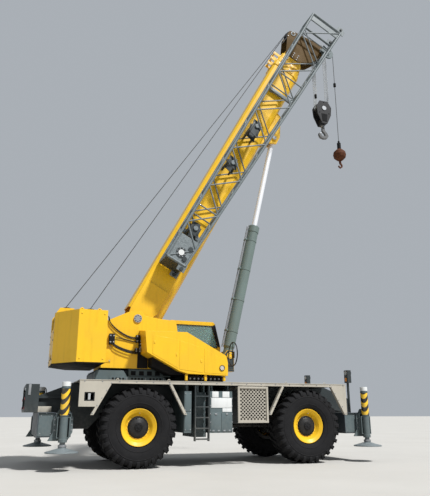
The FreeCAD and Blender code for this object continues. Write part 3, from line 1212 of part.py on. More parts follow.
def lift_rod():
    at, _, angle = lift_line()
    body = piece("lift_rod", at, (0, 1, 0), angle)
    pad(body, "XZ", [("round", "0", "0", "lift_eye")], "-eye_half", "eye_half")
    spin(body, "X", [[("lift_eye * 0.7", "0"), ("lift_eye * 0.7", "lift_rod + 20"), ("lift_eye + 70", "lift_rod"),
                      ("lift_rod_long - 180", "lift_rod"), ("lift_rod_long - 180", "barrel_bore - fit_gap"),
                      ("lift_rod_long", "barrel_bore - fit_gap"), ("lift_rod_long", "0")]])
    cut(body, "XZ", [("round", "0", "0", "lift_pin + fit_gap")], "-eye_half - 1", "eye_half + 1")


def lift_barrel():
    at, length, angle = lift_line()
    body = piece("lift_barrel", at, (0, 1, 0), angle)
    foot, top = f"{length}", f"({length} - barrel_long)"
    spin(body, "X", [[(top, "lift_rod + fit_gap"), (top, "barrel_radius - 12"), (f"{top} + 20", "barrel_radius + 12"),
                      (f"{top} + gland_long", "barrel_radius + 12"), (f"{top} + gland_long", "barrel_radius"),
                      (f"{foot} - 290", "barrel_radius"), (f"{foot} - 220", "lift_eye - 10"),
                      (f"{foot} - 60", "lift_eye - 10"), (f"{foot} - 60", "0"), (f"{foot} - 310", "0"),
                      (f"{foot} - 310", "barrel_bore"),
                      (f"{top} + gland_long", "barrel_bore"), (f"{top} + gland_long", "lift_rod + fit_gap")]])
    pad(body, "XZ", [("round", foot, "0", "lift_eye")], f"-{FOOT_HALF}", FOOT_HALF)


def build_all():
    chassis_frame()
    deck_plates()
    outrigger_tubes()
    axle_housings()
    tail_frame()
    engine_block()
    engine_hood()
    driveline()
    side_boxes()
    side_ladder()
    mesh_guard()
    slewing_ring()
    lamps()
    for corner, middle, half in CORNERS:
        outrigger_beam(corner, middle, half)
        outrigger_float(corner, middle, half)
    for corner, end, hand in WHEELS:
        steering_knuckle(corner, end, hand)
        tyre(corner, end, hand)
        rim(corner, end, hand)
    turntable()
    counterweight()
    hoist_frames()
    hoist_drums()
    side_housing()
    cab_shell()
    cab_glass()
    cab_interior()
    cab_door()
    mirror_hoop()
    boom()
    boom_head()
    head_sheaves()
    aux_nose()
    jib()
    main_falls()
    hook_block()
    ball_and_line()
    lift_rod()
    lift_barrel()


def write_all():
    """Every object must have been made; every sub-part must be a valid shape."""
    doc.recompute()
    for item in doc.Objects:
        if "Invalid" in item.State or "Error" in item.State:
            raise RuntimeError(f"{item.Label} of {item.Name} was not made: {item.State}")
    os.makedirs("parts", exist_ok=True)
    for item in made:
        if item.Shape.isNull() or not item.Shape.isValid():
            raise RuntimeError(f"{item.Label} is not a valid shape")
        item.Shape.exportStep(f"parts/{item.Label}.step")
        print(item.Label, len(item.Shape.Solids), round(item.Shape.Volume / 1e9, 4))


build_all()
write_all()
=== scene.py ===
# Mobile crane: its looks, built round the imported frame. Metres, +X ahead, +Z up.
import math
from itertools import product

import bmesh
import bpy
from mathutils import Matrix, Vector


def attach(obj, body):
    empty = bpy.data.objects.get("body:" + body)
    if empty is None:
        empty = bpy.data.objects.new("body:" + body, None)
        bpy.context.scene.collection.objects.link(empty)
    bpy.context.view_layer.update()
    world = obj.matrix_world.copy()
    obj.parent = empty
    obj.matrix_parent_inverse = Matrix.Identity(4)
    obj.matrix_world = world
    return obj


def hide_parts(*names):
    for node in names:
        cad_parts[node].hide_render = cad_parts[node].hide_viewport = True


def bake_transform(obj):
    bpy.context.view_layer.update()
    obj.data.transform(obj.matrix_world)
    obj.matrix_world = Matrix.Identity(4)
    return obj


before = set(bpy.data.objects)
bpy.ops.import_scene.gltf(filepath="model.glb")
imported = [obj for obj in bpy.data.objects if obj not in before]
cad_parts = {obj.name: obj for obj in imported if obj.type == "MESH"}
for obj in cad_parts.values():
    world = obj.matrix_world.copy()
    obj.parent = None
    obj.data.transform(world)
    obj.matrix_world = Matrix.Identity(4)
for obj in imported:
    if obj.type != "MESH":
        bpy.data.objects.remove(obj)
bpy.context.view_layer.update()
print("frame loaded with", len(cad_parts), "nodes")

# Camera at the photograph's place, plain floor and soft light
view = {"place": (-5.3861, -15.4742, 1.2769), "turn": 19.922, "tilt": 16.708,
        "focalPixels": 550.94, "tallPixels": 496, "sensor": 36.0, "clip": (0.1, 500)}
studio = {"floorSize": 400.0, "skyColour": (0.80, 0.86, 0.93), "skyPower": 0.50,
          "sun": {"place": (0, 0, 20), "turn": (38, 0, 30), "power": 5.2, "softness": 6},
          "fill": {"place": (-9, -14, 9), "turn": (62, 0, -32), "power": 60.0, "size": 9}}


def putInScene(name, data, place=(0, 0, 0), turn=(0, 0, 0)):
    item = bpy.data.objects.new(name, data)
    item.location = place
    item.rotation_euler = [math.radians(a) for a in turn]
    bpy.context.scene.collection.objects.link(item)
    return item


def setCamera():
    lens = bpy.data.cameras.new("photoView")
    lens.sensor_width = view["sensor"]
    lens.lens = view["focalPixels"] / view["tallPixels"] * view["sensor"]
    lens.clip_start, lens.clip_end = view["clip"]
    turn = (90 + view["tilt"], 0, -view["turn"])
    bpy.context.scene.camera = putInScene("photoView", lens, view["place"], turn)


def setStudio():
    world = bpy.data.worlds.new("studioSky")
    bpy.context.scene.world = world
    world.use_nodes = True
    sky = world.node_tree.nodes["Background"]
    sky.inputs["Color"].default_value = (*studio["skyColour"], 1)
    sky.inputs["Strength"].default_value = studio["skyPower"]
    sun = bpy.data.lights.new("sunLight", "SUN")
    sun.angle = math.radians(studio["sun"]["softness"])
    fill = bpy.data.lights.new("fillLight", "AREA")
    fill.shape, fill.size = "DISK", studio["fill"]["size"]
    for lamp, values in ((sun, studio["sun"]), (fill, studio["fill"])):
        lamp.energy = values["power"]
        putInScene(lamp.name, lamp, values["place"], values["turn"])
    bpy.context.scene.view_settings.view_transform = "Standard"


setCamera()
setStudio()

# Node helpers


def plug(socket, value):
    if hasattr(value, "is_output"):
        socket.id_data.links.new(value, socket)
    elif socket.type == "RGBA" and len(value) == 3:
        socket.default_value = (*value, 1)
    else:
        socket.default_value = value


def addNode(tree, kind, **values):
    node = tree.nodes.new(kind)
    for name, value in values.items():
        plug(node.inputs[name.replace("_", " ")], value)
    return node


def placeGroup(tree, group, **values):
    node = tree.nodes.new("ShaderNodeGroup")
    node.node_tree = group
    for name, value in values.items():
        plug(node.inputs[name.replace("_", " ")], value)
    return node.outputs


def maths(tree, kind, first, second=0.0):
    node = tree.nodes.new("ShaderNodeMath")
    node.operation = kind
    plug(node.inputs[0], first)
    plug(node.inputs[1], second)
    return node.outputs[0]


def spread(tree, value, low, high, start=0.0, end=1.0):
    node = tree.nodes.new("ShaderNodeMapRange")
    for place, item in enumerate((value, low, high, start, end)):
        plug(node.inputs[place], item)
    return node.outputs[0]


def mixed(tree, share, first, second):
    node = tree.nodes.new("ShaderNodeMix")
    node.data_type = "RGBA"
    for place, item in ((0, share), (6, first), (7, second)):
        plug(node.inputs[place], item)
    return node.outputs[2]


def cover(tree, base, mask, share, colour):
    return mixed(tree, maths(tree, "MULTIPLY", mask, share), base, colour)


def onObject(tree):
    return tree.nodes.new("ShaderNodeTexCoord").outputs["Object"]


def apart(tree):
    return addNode(tree, "ShaderNodeSeparateXYZ", Vector=onObject(tree)).outputs


def noise(tree, scale, detail, where=None):
    if where is None:
        where = onObject(tree)
    return addNode(tree, "ShaderNodeTexNoise", Vector=where, Scale=scale, Detail=detail,
                   Roughness=0.6).outputs[0]


def wave(tree, way, scale, bend):
    node = addNode(tree, "ShaderNodeTexWave", Vector=onObject(tree), Scale=scale, Distortion=bend)
    node.bands_direction = way
    return node.outputs["Fac"]


def darker(colour, share):
    return tuple(c * share for c in colour)


def newGroup(name, takes, gives):
    group = bpy.data.node_groups.new(name, "ShaderNodeTree")
    for label, value in takes.items():
        socket = group.interface.new_socket(label, in_out="INPUT", socket_type="NodeSocketFloat")
        socket.default_value = value
    for label in gives:
        kind = "NodeSocketVector" if label == "Normal" else "NodeSocketFloat"
        group.interface.new_socket(label, in_out="OUTPUT", socket_type=kind)
    return group, group.nodes.new("NodeGroupInput").outputs, group.nodes.new("NodeGroupOutput").inputs


def weatherGroup():
    # faded patches, streaks that run down, and road dust that fades with height
    group, takes, gives = newGroup("weather", {"Patch Scale": 1.5, "Streak Scale": 9.0, "Dust Height": 1.6},
                                   ("Patches", "Streaks", "Dust"))
    patches = noise(group, takes["Patch Scale"], 5.0)
    plug(gives["Patches"], spread(group, patches, 0.42, 0.68))
    stretched = addNode(group, "ShaderNodeMapping", Vector=onObject(group), Scale=(1, 1, 0.09)).outputs[0]
    streaks = noise(group, takes["Streak Scale"], 3.0, stretched)
    plug(gives["Streaks"], maths(group, "MULTIPLY", spread(group, streaks, 0.52, 0.78), patches))
    low = spread(group, apart(group)["Z"], takes["Dust Height"], 0.0)
    plug(gives["Dust"], maths(group, "MULTIPLY", low, spread(group, noise(group, 14.0, 6.0), 0.3, 0.7)))
    return group


def surfaceGroup():
    # rounded edges, worn edges and the fine grain of the coat
    group, takes, gives = newGroup("surface", {"Edge Radius": 0.006, "Grain Scale": 160.0,
                                               "Grain Depth": 0.0003},
                                   ("Worn Edge", "Normal"))
    soft = addNode(group, "ShaderNodeBevel", Radius=takes["Edge Radius"])
    soft.samples = 4
    turn = group.nodes.new("ShaderNodeVectorMath")
    turn.operation = "DOT_PRODUCT"
    plug(turn.inputs[0], soft.outputs[0])
    plug(turn.inputs[1], group.nodes.new("ShaderNodeNewGeometry").outputs["Normal"])
    edge = spread(group, turn.outputs["Value"], 0.99, 0.86)
    chips = spread(group, noise(group, 22.0, 6.0), 0.46, 0.62)
    plug(gives["Worn Edge"], maths(group, "MULTIPLY", edge, chips))
    bump = addNode(group, "ShaderNodeBump", Distance=takes["Grain Depth"], Normal=soft.outputs[0],
                   Height=noise(group, takes["Grain Scale"], 2.0))
    plug(gives["Normal"], bump.outputs[0])
    return group


weather, surface = weatherGroup(), surfaceGroup()

# Finishes
finishes = {}


def newFinish(name, **values):
    finishes[name] = bpy.data.materials.new(name)
    finishes[name].use_nodes = True
    tree = finishes[name].node_tree
    tree.nodes.clear()
    shader = addNode(tree, "ShaderNodeBsdfPrincipled", **values)
    addNode(tree, "ShaderNodeOutputMaterial", Surface=shader.outputs[0])
    return tree


def dress(tree, base, mask, rough, normal=None):
    # rough holds the roughness where the mask is 0 and where it is 1
    shader = tree.nodes["Principled BSDF"]
    plug(shader.inputs["Base Color"], base)
    plug(shader.inputs["Roughness"], spread(tree, mask, 0, 1, *rough))
    if normal is not None:
        plug(shader.inputs["Normal"], normal)


paints = {  # colour, roughness, coat, faded share, dust, wear, edge radius
    "yellowPaint": ((0.74, 0.435, 0.012), 0.42, 0.30, 0.92, 0.10, 0.08, 0.008),
    "deckPaint": ((0.40, 0.37, 0.31), 0.45, 0.15, 0.86, 0.45, 0.25, 0.006),
    "darkPaint": ((0.030, 0.038, 0.040), 0.52, 0.05, 0.70, 0.55, 0.30, 0.006),
    "greyPaint": ((0.088, 0.118, 0.124), 0.50, 0.05, 0.80, 0.30, 0.25, 0.006),
    "tubePaint": ((0.058, 0.075, 0.090), 0.55, 0.03, 0.75, 0.35, 0.25, 0.006),
    # boom head: its yellow plates painted dark brown as painted shade
    "headPaint": ((0.100, 0.058, 0.016), 0.70, 0.00, 0.70, 0.05, 0.25, 0.006),
    "barrelPaint": ((0.130, 0.170, 0.158), 0.42, 0.12, 0.85, 0.10, 0.10, 0.005),
    "engineIron": ((0.030, 0.030, 0.030), 0.60, 0.00, 0.60, 0.50, 0.30, 0.010),
    "blackIron": ((0.009, 0.009, 0.010), 0.72, 0.00, 0.60, 0.05, 0.25, 0.006),
    "blackPlastic": ((0.015, 0.015, 0.016), 0.50, 0.00, 0.70, 0.20, 0.05, 0.004),
    "whitePaint": ((0.62, 0.63, 0.62), 0.40, 0.10, 0.90, 0.20, 0.10, 0.003),
}


def makePaint(name, colour, rough, coat, faded, dust, wear, edge):
    tree = newFinish(name, Coat_Weight=coat, Coat_Roughness=0.22, Specular_IOR_Level=0.30 if coat else 0.15)
    marks, skin = placeGroup(tree, weather), placeGroup(tree, surface, Edge_Radius=edge)
    base = mixed(tree, marks["Patches"], colour, darker(colour, faded))
    base = cover(tree, base, marks["Streaks"], 0.6, darker(colour, 0.55))
    base = cover(tree, base, marks["Dust"], dust, (0.30, 0.275, 0.235))
    base = cover(tree, base, skin["Worn Edge"], wear, (0.24, 0.23, 0.22))
    dress(tree, base, marks["Patches"], (rough - 0.05, rough + 0.12), skin["Normal"])


def makeRimPaint(name, hubRadius=0.262, axle=2.325, height=0.95, shadeInboardOf=1.27):
    # yellow disc round a dark hub, told apart by the distance from the wheel's own axle; inboard of the outer
    # face the rim is painted dark as the shade under the machine
    tree = newFinish(name, Specular_IOR_Level=0.2)
    marks, skin = placeGroup(tree, weather, Patch_Scale=4.0), placeGroup(tree, surface, Edge_Radius=0.006)
    x, y, z = apart(tree)
    along = maths(tree, "SUBTRACT", maths(tree, "ABSOLUTE", x), axle)
    up = maths(tree, "SUBTRACT", z, height)
    squares = maths(tree, "ADD", maths(tree, "MULTIPLY", along, along), maths(tree, "MULTIPLY", up, up))
    ring = spread(tree, maths(tree, "SQRT", squares), hubRadius, hubRadius + 0.003)
    # the outer face stays yellow; inboard of it the rim gets the dark colour as painted shade
    face = spread(tree, maths(tree, "ABSOLUTE", y), shadeInboardOf, shadeInboardOf + 0.02)
    colour = paints["yellowPaint"][0]
    yellow = mixed(tree, marks["Patches"], colour, darker(colour, 0.85))
    base = mixed(tree, maths(tree, "MULTIPLY", ring, face), (0.012, 0.012, 0.013), yellow)
    base = cover(tree, base, marks["Dust"], 0.12, (0.30, 0.27, 0.22))
    base = cover(tree, base, skin["Worn Edge"], 0.3, (0.2, 0.18, 0.16))
    dress(tree, base, marks["Patches"], (0.36, 0.5), skin["Normal"])


def makeStripes(name, pitch=0.235):
    # diagonal warning stripes
    tree = newFinish(name, Coat_Weight=0.1)
    x, y, z = apart(tree)
    across = maths(tree, "SUBTRACT", z, maths(tree, "ADD", x, y))
    band = spread(tree, maths(tree, "FRACT", maths(tree, "DIVIDE", across, pitch)), 0.485, 0.515)
    marks, skin = placeGroup(tree, weather, Patch_Scale=6.0), placeGroup(tree, surface, Edge_Radius=0.003)
    base = mixed(tree, band, (0.015, 0.015, 0.015), (0.82, 0.50, 0.02))
    base = cover(tree, base, marks["Patches"], 0.35, (0.16, 0.13, 0.09))
    dress(tree, base, marks["Patches"], (0.35, 0.55), skin["Normal"])


def makeGalvanised(name, colour):
    # zinc spangle: flat grains of differing brightness
    tree = newFinish(name, Specular_IOR_Level=0.30)
    grains = addNode(tree, "ShaderNodeTexVoronoi", Vector=onObject(tree), Scale=42.0).outputs["Color"]
    grey = addNode(tree, "ShaderNodeSeparateColor", Color=grains).outputs[0]
    marks, skin = placeGroup(tree, weather, Patch_Scale=2.5), placeGroup(tree, surface, Edge_Radius=0.004)
    base = mixed(tree, grey, darker(colour, 0.72), darker(colour, 1.12))
    base = cover(tree, base, marks["Patches"], 0.45, darker(colour, 0.80))
    dress(tree, base, grey, (0.34, 0.52), skin["Normal"])


def makeMetal(name, colour, rough, metal):
    # turned or plated metal with fine lines and a thin film
    tree = newFinish(name, Metallic=metal)
    lines = spread(tree, noise(tree, 90.0, 2.0), 0.3, 0.7)
    marks = placeGroup(tree, weather)
    skin = placeGroup(tree, surface, Edge_Radius=0.004, Grain_Depth=0.0001)
    base = cover(tree, colour, marks["Patches"], 0.3, darker(colour, 0.75))
    dress(tree, base, lines, (rough, rough + 0.07), skin["Normal"])


def makeRubber(name):
    # moulded rubber, greyed by road dust where the lugs are
    tree = newFinish(name, Specular_IOR_Level=0.15)
    scuffs = spread(tree, noise(tree, 5.0, 8.0), 0.40, 0.70)
    fine = spread(tree, noise(tree, 60.0, 5.0), 0.35, 0.75)
    skin = placeGroup(tree, surface, Edge_Radius=0.010, Grain_Scale=120.0, Grain_Depth=0.0012)
    base = cover(tree, (0.0075, 0.0075, 0.0085), scuffs, 0.55, (0.019, 0.019, 0.020))
    base = cover(tree, base, fine, 0.10, (0.050, 0.047, 0.043))
    base = cover(tree, base, skin["Worn Edge"], 0.30, (0.060, 0.057, 0.052))
    dress(tree, base, scuffs, (0.76, 0.94), skin["Normal"])


def makeRope(name, colour, relief, metal):
    # laid wire: a slanting wave stands for the strands
    tree = newFinish(name, Metallic=metal)
    lay = wave(tree, "DIAGONAL", 26.0, 0.4)
    skin = placeGroup(tree, surface, Edge_Radius=0.001)
    bump = addNode(tree, "ShaderNodeBump", Distance=0.002, Height=lay, Normal=skin["Normal"]).outputs[0]
    dress(tree, mixed(tree, lay, darker(colour, 1 - relief), darker(colour, 1 + relief)), lay, (0.7, 0.45),
          bump)


def makeRust(name, lineFoot=10.50):
    # old scale over forged iron, and the wire of the line above it
    tree = newFinish(name, Specular_IOR_Level=0.12)
    scale = spread(tree, noise(tree, 16.0, 8.0), 0.35, 0.65)
    skin = placeGroup(tree, surface, Edge_Radius=0.006, Grain_Scale=70.0, Grain_Depth=0.0016)
    base = mixed(tree, scale, (0.052, 0.019, 0.010), (0.110, 0.040, 0.018))
    base = cover(tree, base, skin["Worn Edge"], 0.4, (0.15, 0.08, 0.05))
    wire = spread(tree, apart(tree)["Z"], lineFoot, lineFoot + 0.01)
    dress(tree, mixed(tree, wire, base, (0.100, 0.104, 0.108)), scale, (0.62, 0.85), skin["Normal"])


def makeHookIron(name, hookTop=11.27):
    # black block, and bare forged metal below it
    tree = newFinish(name, Specular_IOR_Level=0.25)
    scale = spread(tree, noise(tree, 24.0, 6.0), 0.35, 0.65)
    skin = placeGroup(tree, surface, Edge_Radius=0.008, Grain_Scale=80.0, Grain_Depth=0.0008)
    bare = mixed(tree, scale, (0.060, 0.062, 0.064), (0.150, 0.150, 0.150))
    black = mixed(tree, scale, (0.008, 0.008, 0.009), (0.020, 0.020, 0.021))
    base = mixed(tree, spread(tree, apart(tree)["Z"], hookTop, hookTop - 0.01), black, bare)
    base = cover(tree, base, skin["Worn Edge"], 0.3, (0.20, 0.20, 0.20))
    dress(tree, base, scale, (0.5, 0.7), skin["Normal"])


def makeGlass(name, colour, through):
    # tinted pane with a little dust on it
    tree = newFinish(name, Transmission_Weight=through, IOR=1.45)
    film = spread(tree, noise(tree, 3.0, 6.0), 0.4, 0.8)
    dress(tree, cover(tree, colour, film, 0.25, darker(colour, 0.7)), film, (0.02, 0.10))


def makeFabric(name, colour=(0.030, 0.031, 0.034)):
    # woven seat cloth
    tree = newFinish(name, Sheen_Weight=0.3)
    weave = maths(tree, "MULTIPLY", wave(tree, "X", 70.0, 0.6), wave(tree, "Z", 70.0, 0.6))
    bump = addNode(tree, "ShaderNodeBump", Distance=0.001, Height=weave).outputs[0]
    dress(tree, mixed(tree, weave, darker(colour, 0.6), darker(colour, 1.8)), weave, (0.95, 0.8), bump)


def makeFloor(name):
    tree = newFinish(name)
    cloud = noise(tree, 0.35, 6.0)
    dress(tree, mixed(tree, cloud, (0.40, 0.385, 0.355), (0.49, 0.475, 0.445)), cloud, (0.8, 0.95))


for paint, values in paints.items():
    makePaint(paint, *values)
for maker, *values in (
        (makeRimPaint, "rimPaint"), (makeStripes, "stripes"), (makeRubber, "rubber"), (makeRust, "rust"),
        (makeHookIron, "hookIron"), (makeFabric, "seatCloth"), (makeFloor, "floorTone"),
        (makeGalvanised, "galvanised", (0.150, 0.175, 0.182)), (makeGalvanised, "jackZinc", (0.170, 0.195,
            0.202)),
        (makeMetal, "chromeRod", (0.84, 0.85, 0.88), 0.28, 0.35),
        (makeMetal, "bareSteel", (0.28, 0.29, 0.30), 0.42, 0.6),
        (makeRope, "rope", (0.09, 0.092, 0.095), 0.5, 0.6), (makeRope, "fallRope", (0.36, 0.38, 0.39), 0.12,
                                                             0.0),
        (makeGlass, "cabGlass", (0.42, 0.62, 0.60), 0.75), (makeGlass, "clearLens", (0.90, 0.92, 0.92), 0.6),
        (makeGlass, "redLens", (0.55, 0.02, 0.015), 0.3), (makeGlass, "amberLens", (0.85, 0.28, 0.01), 0.3)):
    maker(*values)
print("finishes made:", len(finishes))

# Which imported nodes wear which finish; a name that ends in _ means all that start with it
nodeFinish = {
    "yellowPaint": ["turntable", "counterweight", "hoist_frames", "side_housing", "cab_shell", "cab_door",
                    "boom_"],
    "darkPaint": ["carrier_frame", "axles", "tail_frame", "ladder", "slew_pedestal", "lamps_and_posts",
                  "knuckle_"],
    "greyPaint": ["engine_hood", "side_boxes", "beam_", "aux_nose"], "deckPaint": ["deck", "mesh_panel"],
    # the boom head wears the dark brown painted shade
    "tubePaint": ["outrigger_boxes"], "headPaint": ["boom_head"], "barrelPaint": ["lift_barrel"],
    "engineIron": ["engine", "driveline"], "blackIron": ["hoist_drums", "head_sheaves"],
    "blackPlastic": ["cab_interior", "mirror_hoop"], "rimPaint": ["rim_"], "rubber": ["tyre_"],
    "jackZinc": ["float_"], "galvanised": ["jib"], "chromeRod": ["lift_rod"], "cabGlass": ["cab_glass"],
    "fallRope": ["main_falls"], "hookIron": ["hook_block"], "rust": ["ball"],
}


def dressNodes():
    wearing = {key: worn for worn, keys in nodeFinish.items() for key in keys}
    for name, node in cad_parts.items():
        keys = [key for key in wearing if name == key or key.endswith("_") and name.startswith(key)]
        node.data.materials.clear()
        node.data.materials.append(finishes[wearing[max(keys, key=len)]])


dressNodes()
print("packed nodes dressed")

# Shapes: each gives its points and faces


def circle(count, start=0.0):
    # cosine and sine of evenly spaced angles
    angles = [start + 2 * math.pi * k / count for k in range(count)]
    return [(math.cos(a), math.sin(a)) for a in angles]


def band(first, second, sides):
    # faces between the rings of points that start at first and at second
    return [[first + k, first + (k + 1) % sides, second + (k + 1) % sides, second + k] for k in range(sides)]


def readShape(solid):
    solid.verts.index_update()
    points = [tuple(v.co) for v in solid.verts]
    faces = [[v.index for v in f.verts] for f in solid.faces]
    solid.free()
    return points, faces


def boxShape(low, high, edge):
    solid = bmesh.new()
    bmesh.ops.create_cube(solid, size=1)
    size = [b - a for a, b in zip(low, high)]
    for v in solid.verts:
        v.co = Vector([a + (c + 0.5) * s for a, c, s in zip(low, v.co, size)])
    bmesh.ops.bevel(solid, geom=solid.edges[:], offset=min(edge, min(size) * 0.3), segments=2, profile=0.6,
                    affect="EDGES")
    return readShape(solid)


def plateShape(outline, low, high, axis, edge):
    # outline holds the two other coordinates in the order x, y, z
    n = "XYZ".index(axis)
    solid = bmesh.new()
    lower, upper = [[solid.verts.new((*p[:n], level, *p[n:])) for p in outline] for level in (low, high)]
    solid.faces.new(lower)
    solid.faces.new(upper)
    for i in range(len(outline)):
        j = (i + 1) % len(outline)
        solid.faces.new((lower[i], lower[j], upper[j], upper[i]))
    bmesh.ops.recalc_face_normals(solid, faces=solid.faces[:])
    if edge:
        bmesh.ops.bevel(solid, geom=solid.edges[:], offset=edge, segments=1, profile=0.5, affect="EDGES")
    return readShape(solid)


def tubeShape(points, radius, sides=10, closed=False):
    path = [Vector(p) for p in points]
    count, last = len(path), len(path) - 1
    verts, faces, lean = [], [], None
    for i, p in enumerate(path):
        before, after = (i - 1, (i + 1) % count) if closed else (max(i - 1, 0), min(i + 1, last))
        along = (path[after] - path[before]).normalized()
        if lean is None:
            lean = along.orthogonal().normalized()
        lean = (lean - along * lean.dot(along)).normalized()
        side = along.cross(lean)
        verts += [tuple(p + (lean * c + side * s) * radius) for c, s in circle(sides)]
    for i in range(count if closed else last):
        faces += band(i * sides, (i + 1) % count * sides, sides)
    if not closed:
        faces += [list(reversed(range(sides))), [last * sides + k for k in range(sides)]]
    return verts, faces


def latheShape(profile, centre, axis, sides, closed):
    # profile holds (along the axis, radius)
    order = {"X": (0, 1, 2), "Y": (1, 0, 2), "Z": (1, 2, 0)}[axis]
    verts, faces = [], []
    for along, radius in profile:
        radius = max(radius, 1e-4)
        for c, s in circle(sides):
            local = (along, radius * c, radius * s)
            verts.append(tuple(middle + local[i] for middle, i in zip(centre, order)))
    rings = [i * sides for i in range(len(profile))]
    for first, second in zip(rings, rings[1:] + rings[:1] if closed else rings[1:]):
        faces += band(first, second, sides)
    if not closed:
        faces += [[ring + k for k in range(sides)] for ring in (rings[0], rings[-1])]
    return verts, faces


def curvedPath(corners, steps=7):
    # a smooth run through the corners
    path = [Vector(c) for c in corners]
    path = [path[0] * 2 - path[1]] + path + [path[-1] * 2 - path[-2]]
    run = []
    for i in range(1, len(path) - 2):
        a, b, c, d = path[i - 1:i + 3]
        for t in [s / steps for s in range(steps)]:
            run.append(0.5 * (2 * b + (c - a) * t + (2 * a - 5 * b + 4 * c - d) * t ** 2
                              + (3 * b - a - 3 * c + d) * t ** 3))
    return run + [path[-2]]


def boltShape(radius=0.014, tall=0.012):
    # hexagon head on a washer, standing along +Z
    verts, faces = [], []
    for sides, rings in ((16, ((0, 1.45), (0.003, 1.45))), (6, ((0.003, 1.0), (tall * 0.85, 1.0), (tall,
        0.85)))):
        base = len(verts)
        for z, share in rings:
            verts += [(radius * share * c, radius * share * s, z) for c, s in circle(sides)]
        top = len(verts) - sides
        for ring in range(base, top, sides):
            faces += band(ring, ring + sides, sides)
        faces.append([top + k for k in range(sides)])
    return verts, faces


bolt = boltShape()

# Kits: the shapes of one piece, each with the number of its finish


def startPiece():
    return {"points": [], "faces": [], "finish": [], "smooth": []}


def add(kit, shape, finish=0, smooth=True, place=Matrix()):
    points, faces = shape
    base = len(kit["points"])
    kit["points"] += [tuple(place @ Vector(p)) for p in points]
    kit["faces"] += [[base + i for i in face] for face in faces]
    kit["finish"] += [finish] * len(faces)
    kit["smooth"] += [smooth] * len(faces)


def handed(hand, near, far):
    # the same stretch on the left (1) or the right (-1) of the machine
    return (near, far) if hand > 0 else (-far, -near)


def box(kit, x, y, z, finish=0, edge=0.004):
    add(kit, boxShape(*zip(x, y, z), edge), finish, False)


def boxFrame(kit, x, y, z, wide, finish=0, edge=0.002):
    # four bars round an opening
    for xs, zs in ((x, (z[0], z[0] + wide)), (x, (z[1] - wide, z[1])), ((x[0], x[0] + wide), z),
                   ((x[1] - wide, x[1]), z)):
        box(kit, xs, y, zs, finish, edge)


def plate(kit, outline, span, finish=0, axis="Y", edge=0.003, place=Matrix()):
    add(kit, plateShape(outline, *span, axis, edge), finish, False, place)


def turned(kit, profile, finish=0, centre=(0, 0, 0), axis="Y", sides=48, closed=False):
    add(kit, latheShape(profile, centre, axis, sides, closed), finish)


def disc(kit, centre, axis, radius, span, finish=0, sides=32, draft=0.97):
    low, high = span
    turned(kit, [(low, 0.0), (low, radius), (high, radius * draft), (high, 0.0)], finish, centre, axis, sides)


def sleeve(kit, centre, axis, radii, span, finish=0, sides=56):
    (inner, outer), (low, high) = radii, span
    turned(kit, [(low, inner), (low, outer), (high, outer), (high, inner)], finish, centre, axis, sides, True)


def rod(kit, start, end, radius, finish=0, sides=10):
    add(kit, tubeShape([start, end], radius, sides), finish)


def pipe(kit, corners, radius, finish=0, sides=10):
    add(kit, tubeShape(curvedPath(corners), radius, sides), finish)


def addBolts(kit, points, direction, size=1.0, finish=0):
    turn = Vector(direction).to_track_quat("Z", "Y").to_matrix().to_4x4() @ Matrix.Scale(size, 4)
    for point in points:
        add(kit, bolt, finish, False, Matrix.Translation(point) @ turn)


def boltRing(kit, centre, direction, radius, count, size, finish=0, start=0.0):
    axis = Vector([abs(c) for c in direction])
    lean = axis.orthogonal().normalized()
    side = axis.cross(lean)
    ring = [Vector(centre) + (lean * c + side * s) * radius for c, s in circle(count, start)]
    addBolts(kit, ring, direction, size, finish)


def finishPiece(kit, name, body, worn, replaced=(), place=Matrix()):
    mesh = bpy.data.meshes.new(name)
    mesh.from_pydata(kit["points"], [], kit["faces"])
    mesh.polygons.foreach_set("material_index", kit["finish"])
    mesh.polygons.foreach_set("use_smooth", kit["smooth"])
    for item in worn:
        mesh.materials.append(finishes[item])
    mesh.transform(place)
    tidy = bmesh.new()
    tidy.from_mesh(mesh)
    bmesh.ops.recalc_face_normals(tidy, faces=tidy.faces[:])
    tidy.to_mesh(mesh)
    tidy.free()
    mesh.set_sharp_from_angle(angle=math.radians(38))
    piece = putInScene(name, mesh)
    if body is not None:
        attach(piece, body)
    if replaced:
        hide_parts(*replaced)
    return piece


def layFloor():
    half = studio["floorSize"] / 2
    mesh = bpy.data.meshes.new("studioFloor")
    mesh.from_pydata([(-half, -half, 0), (half, -half, 0), (half, half, 0), (-half, half, 0)], [], [[0, 1, 2,
        3]])
    mesh.materials.append(finishes["floorTone"])
    putInScene("studioFloor", mesh)


layFloor()

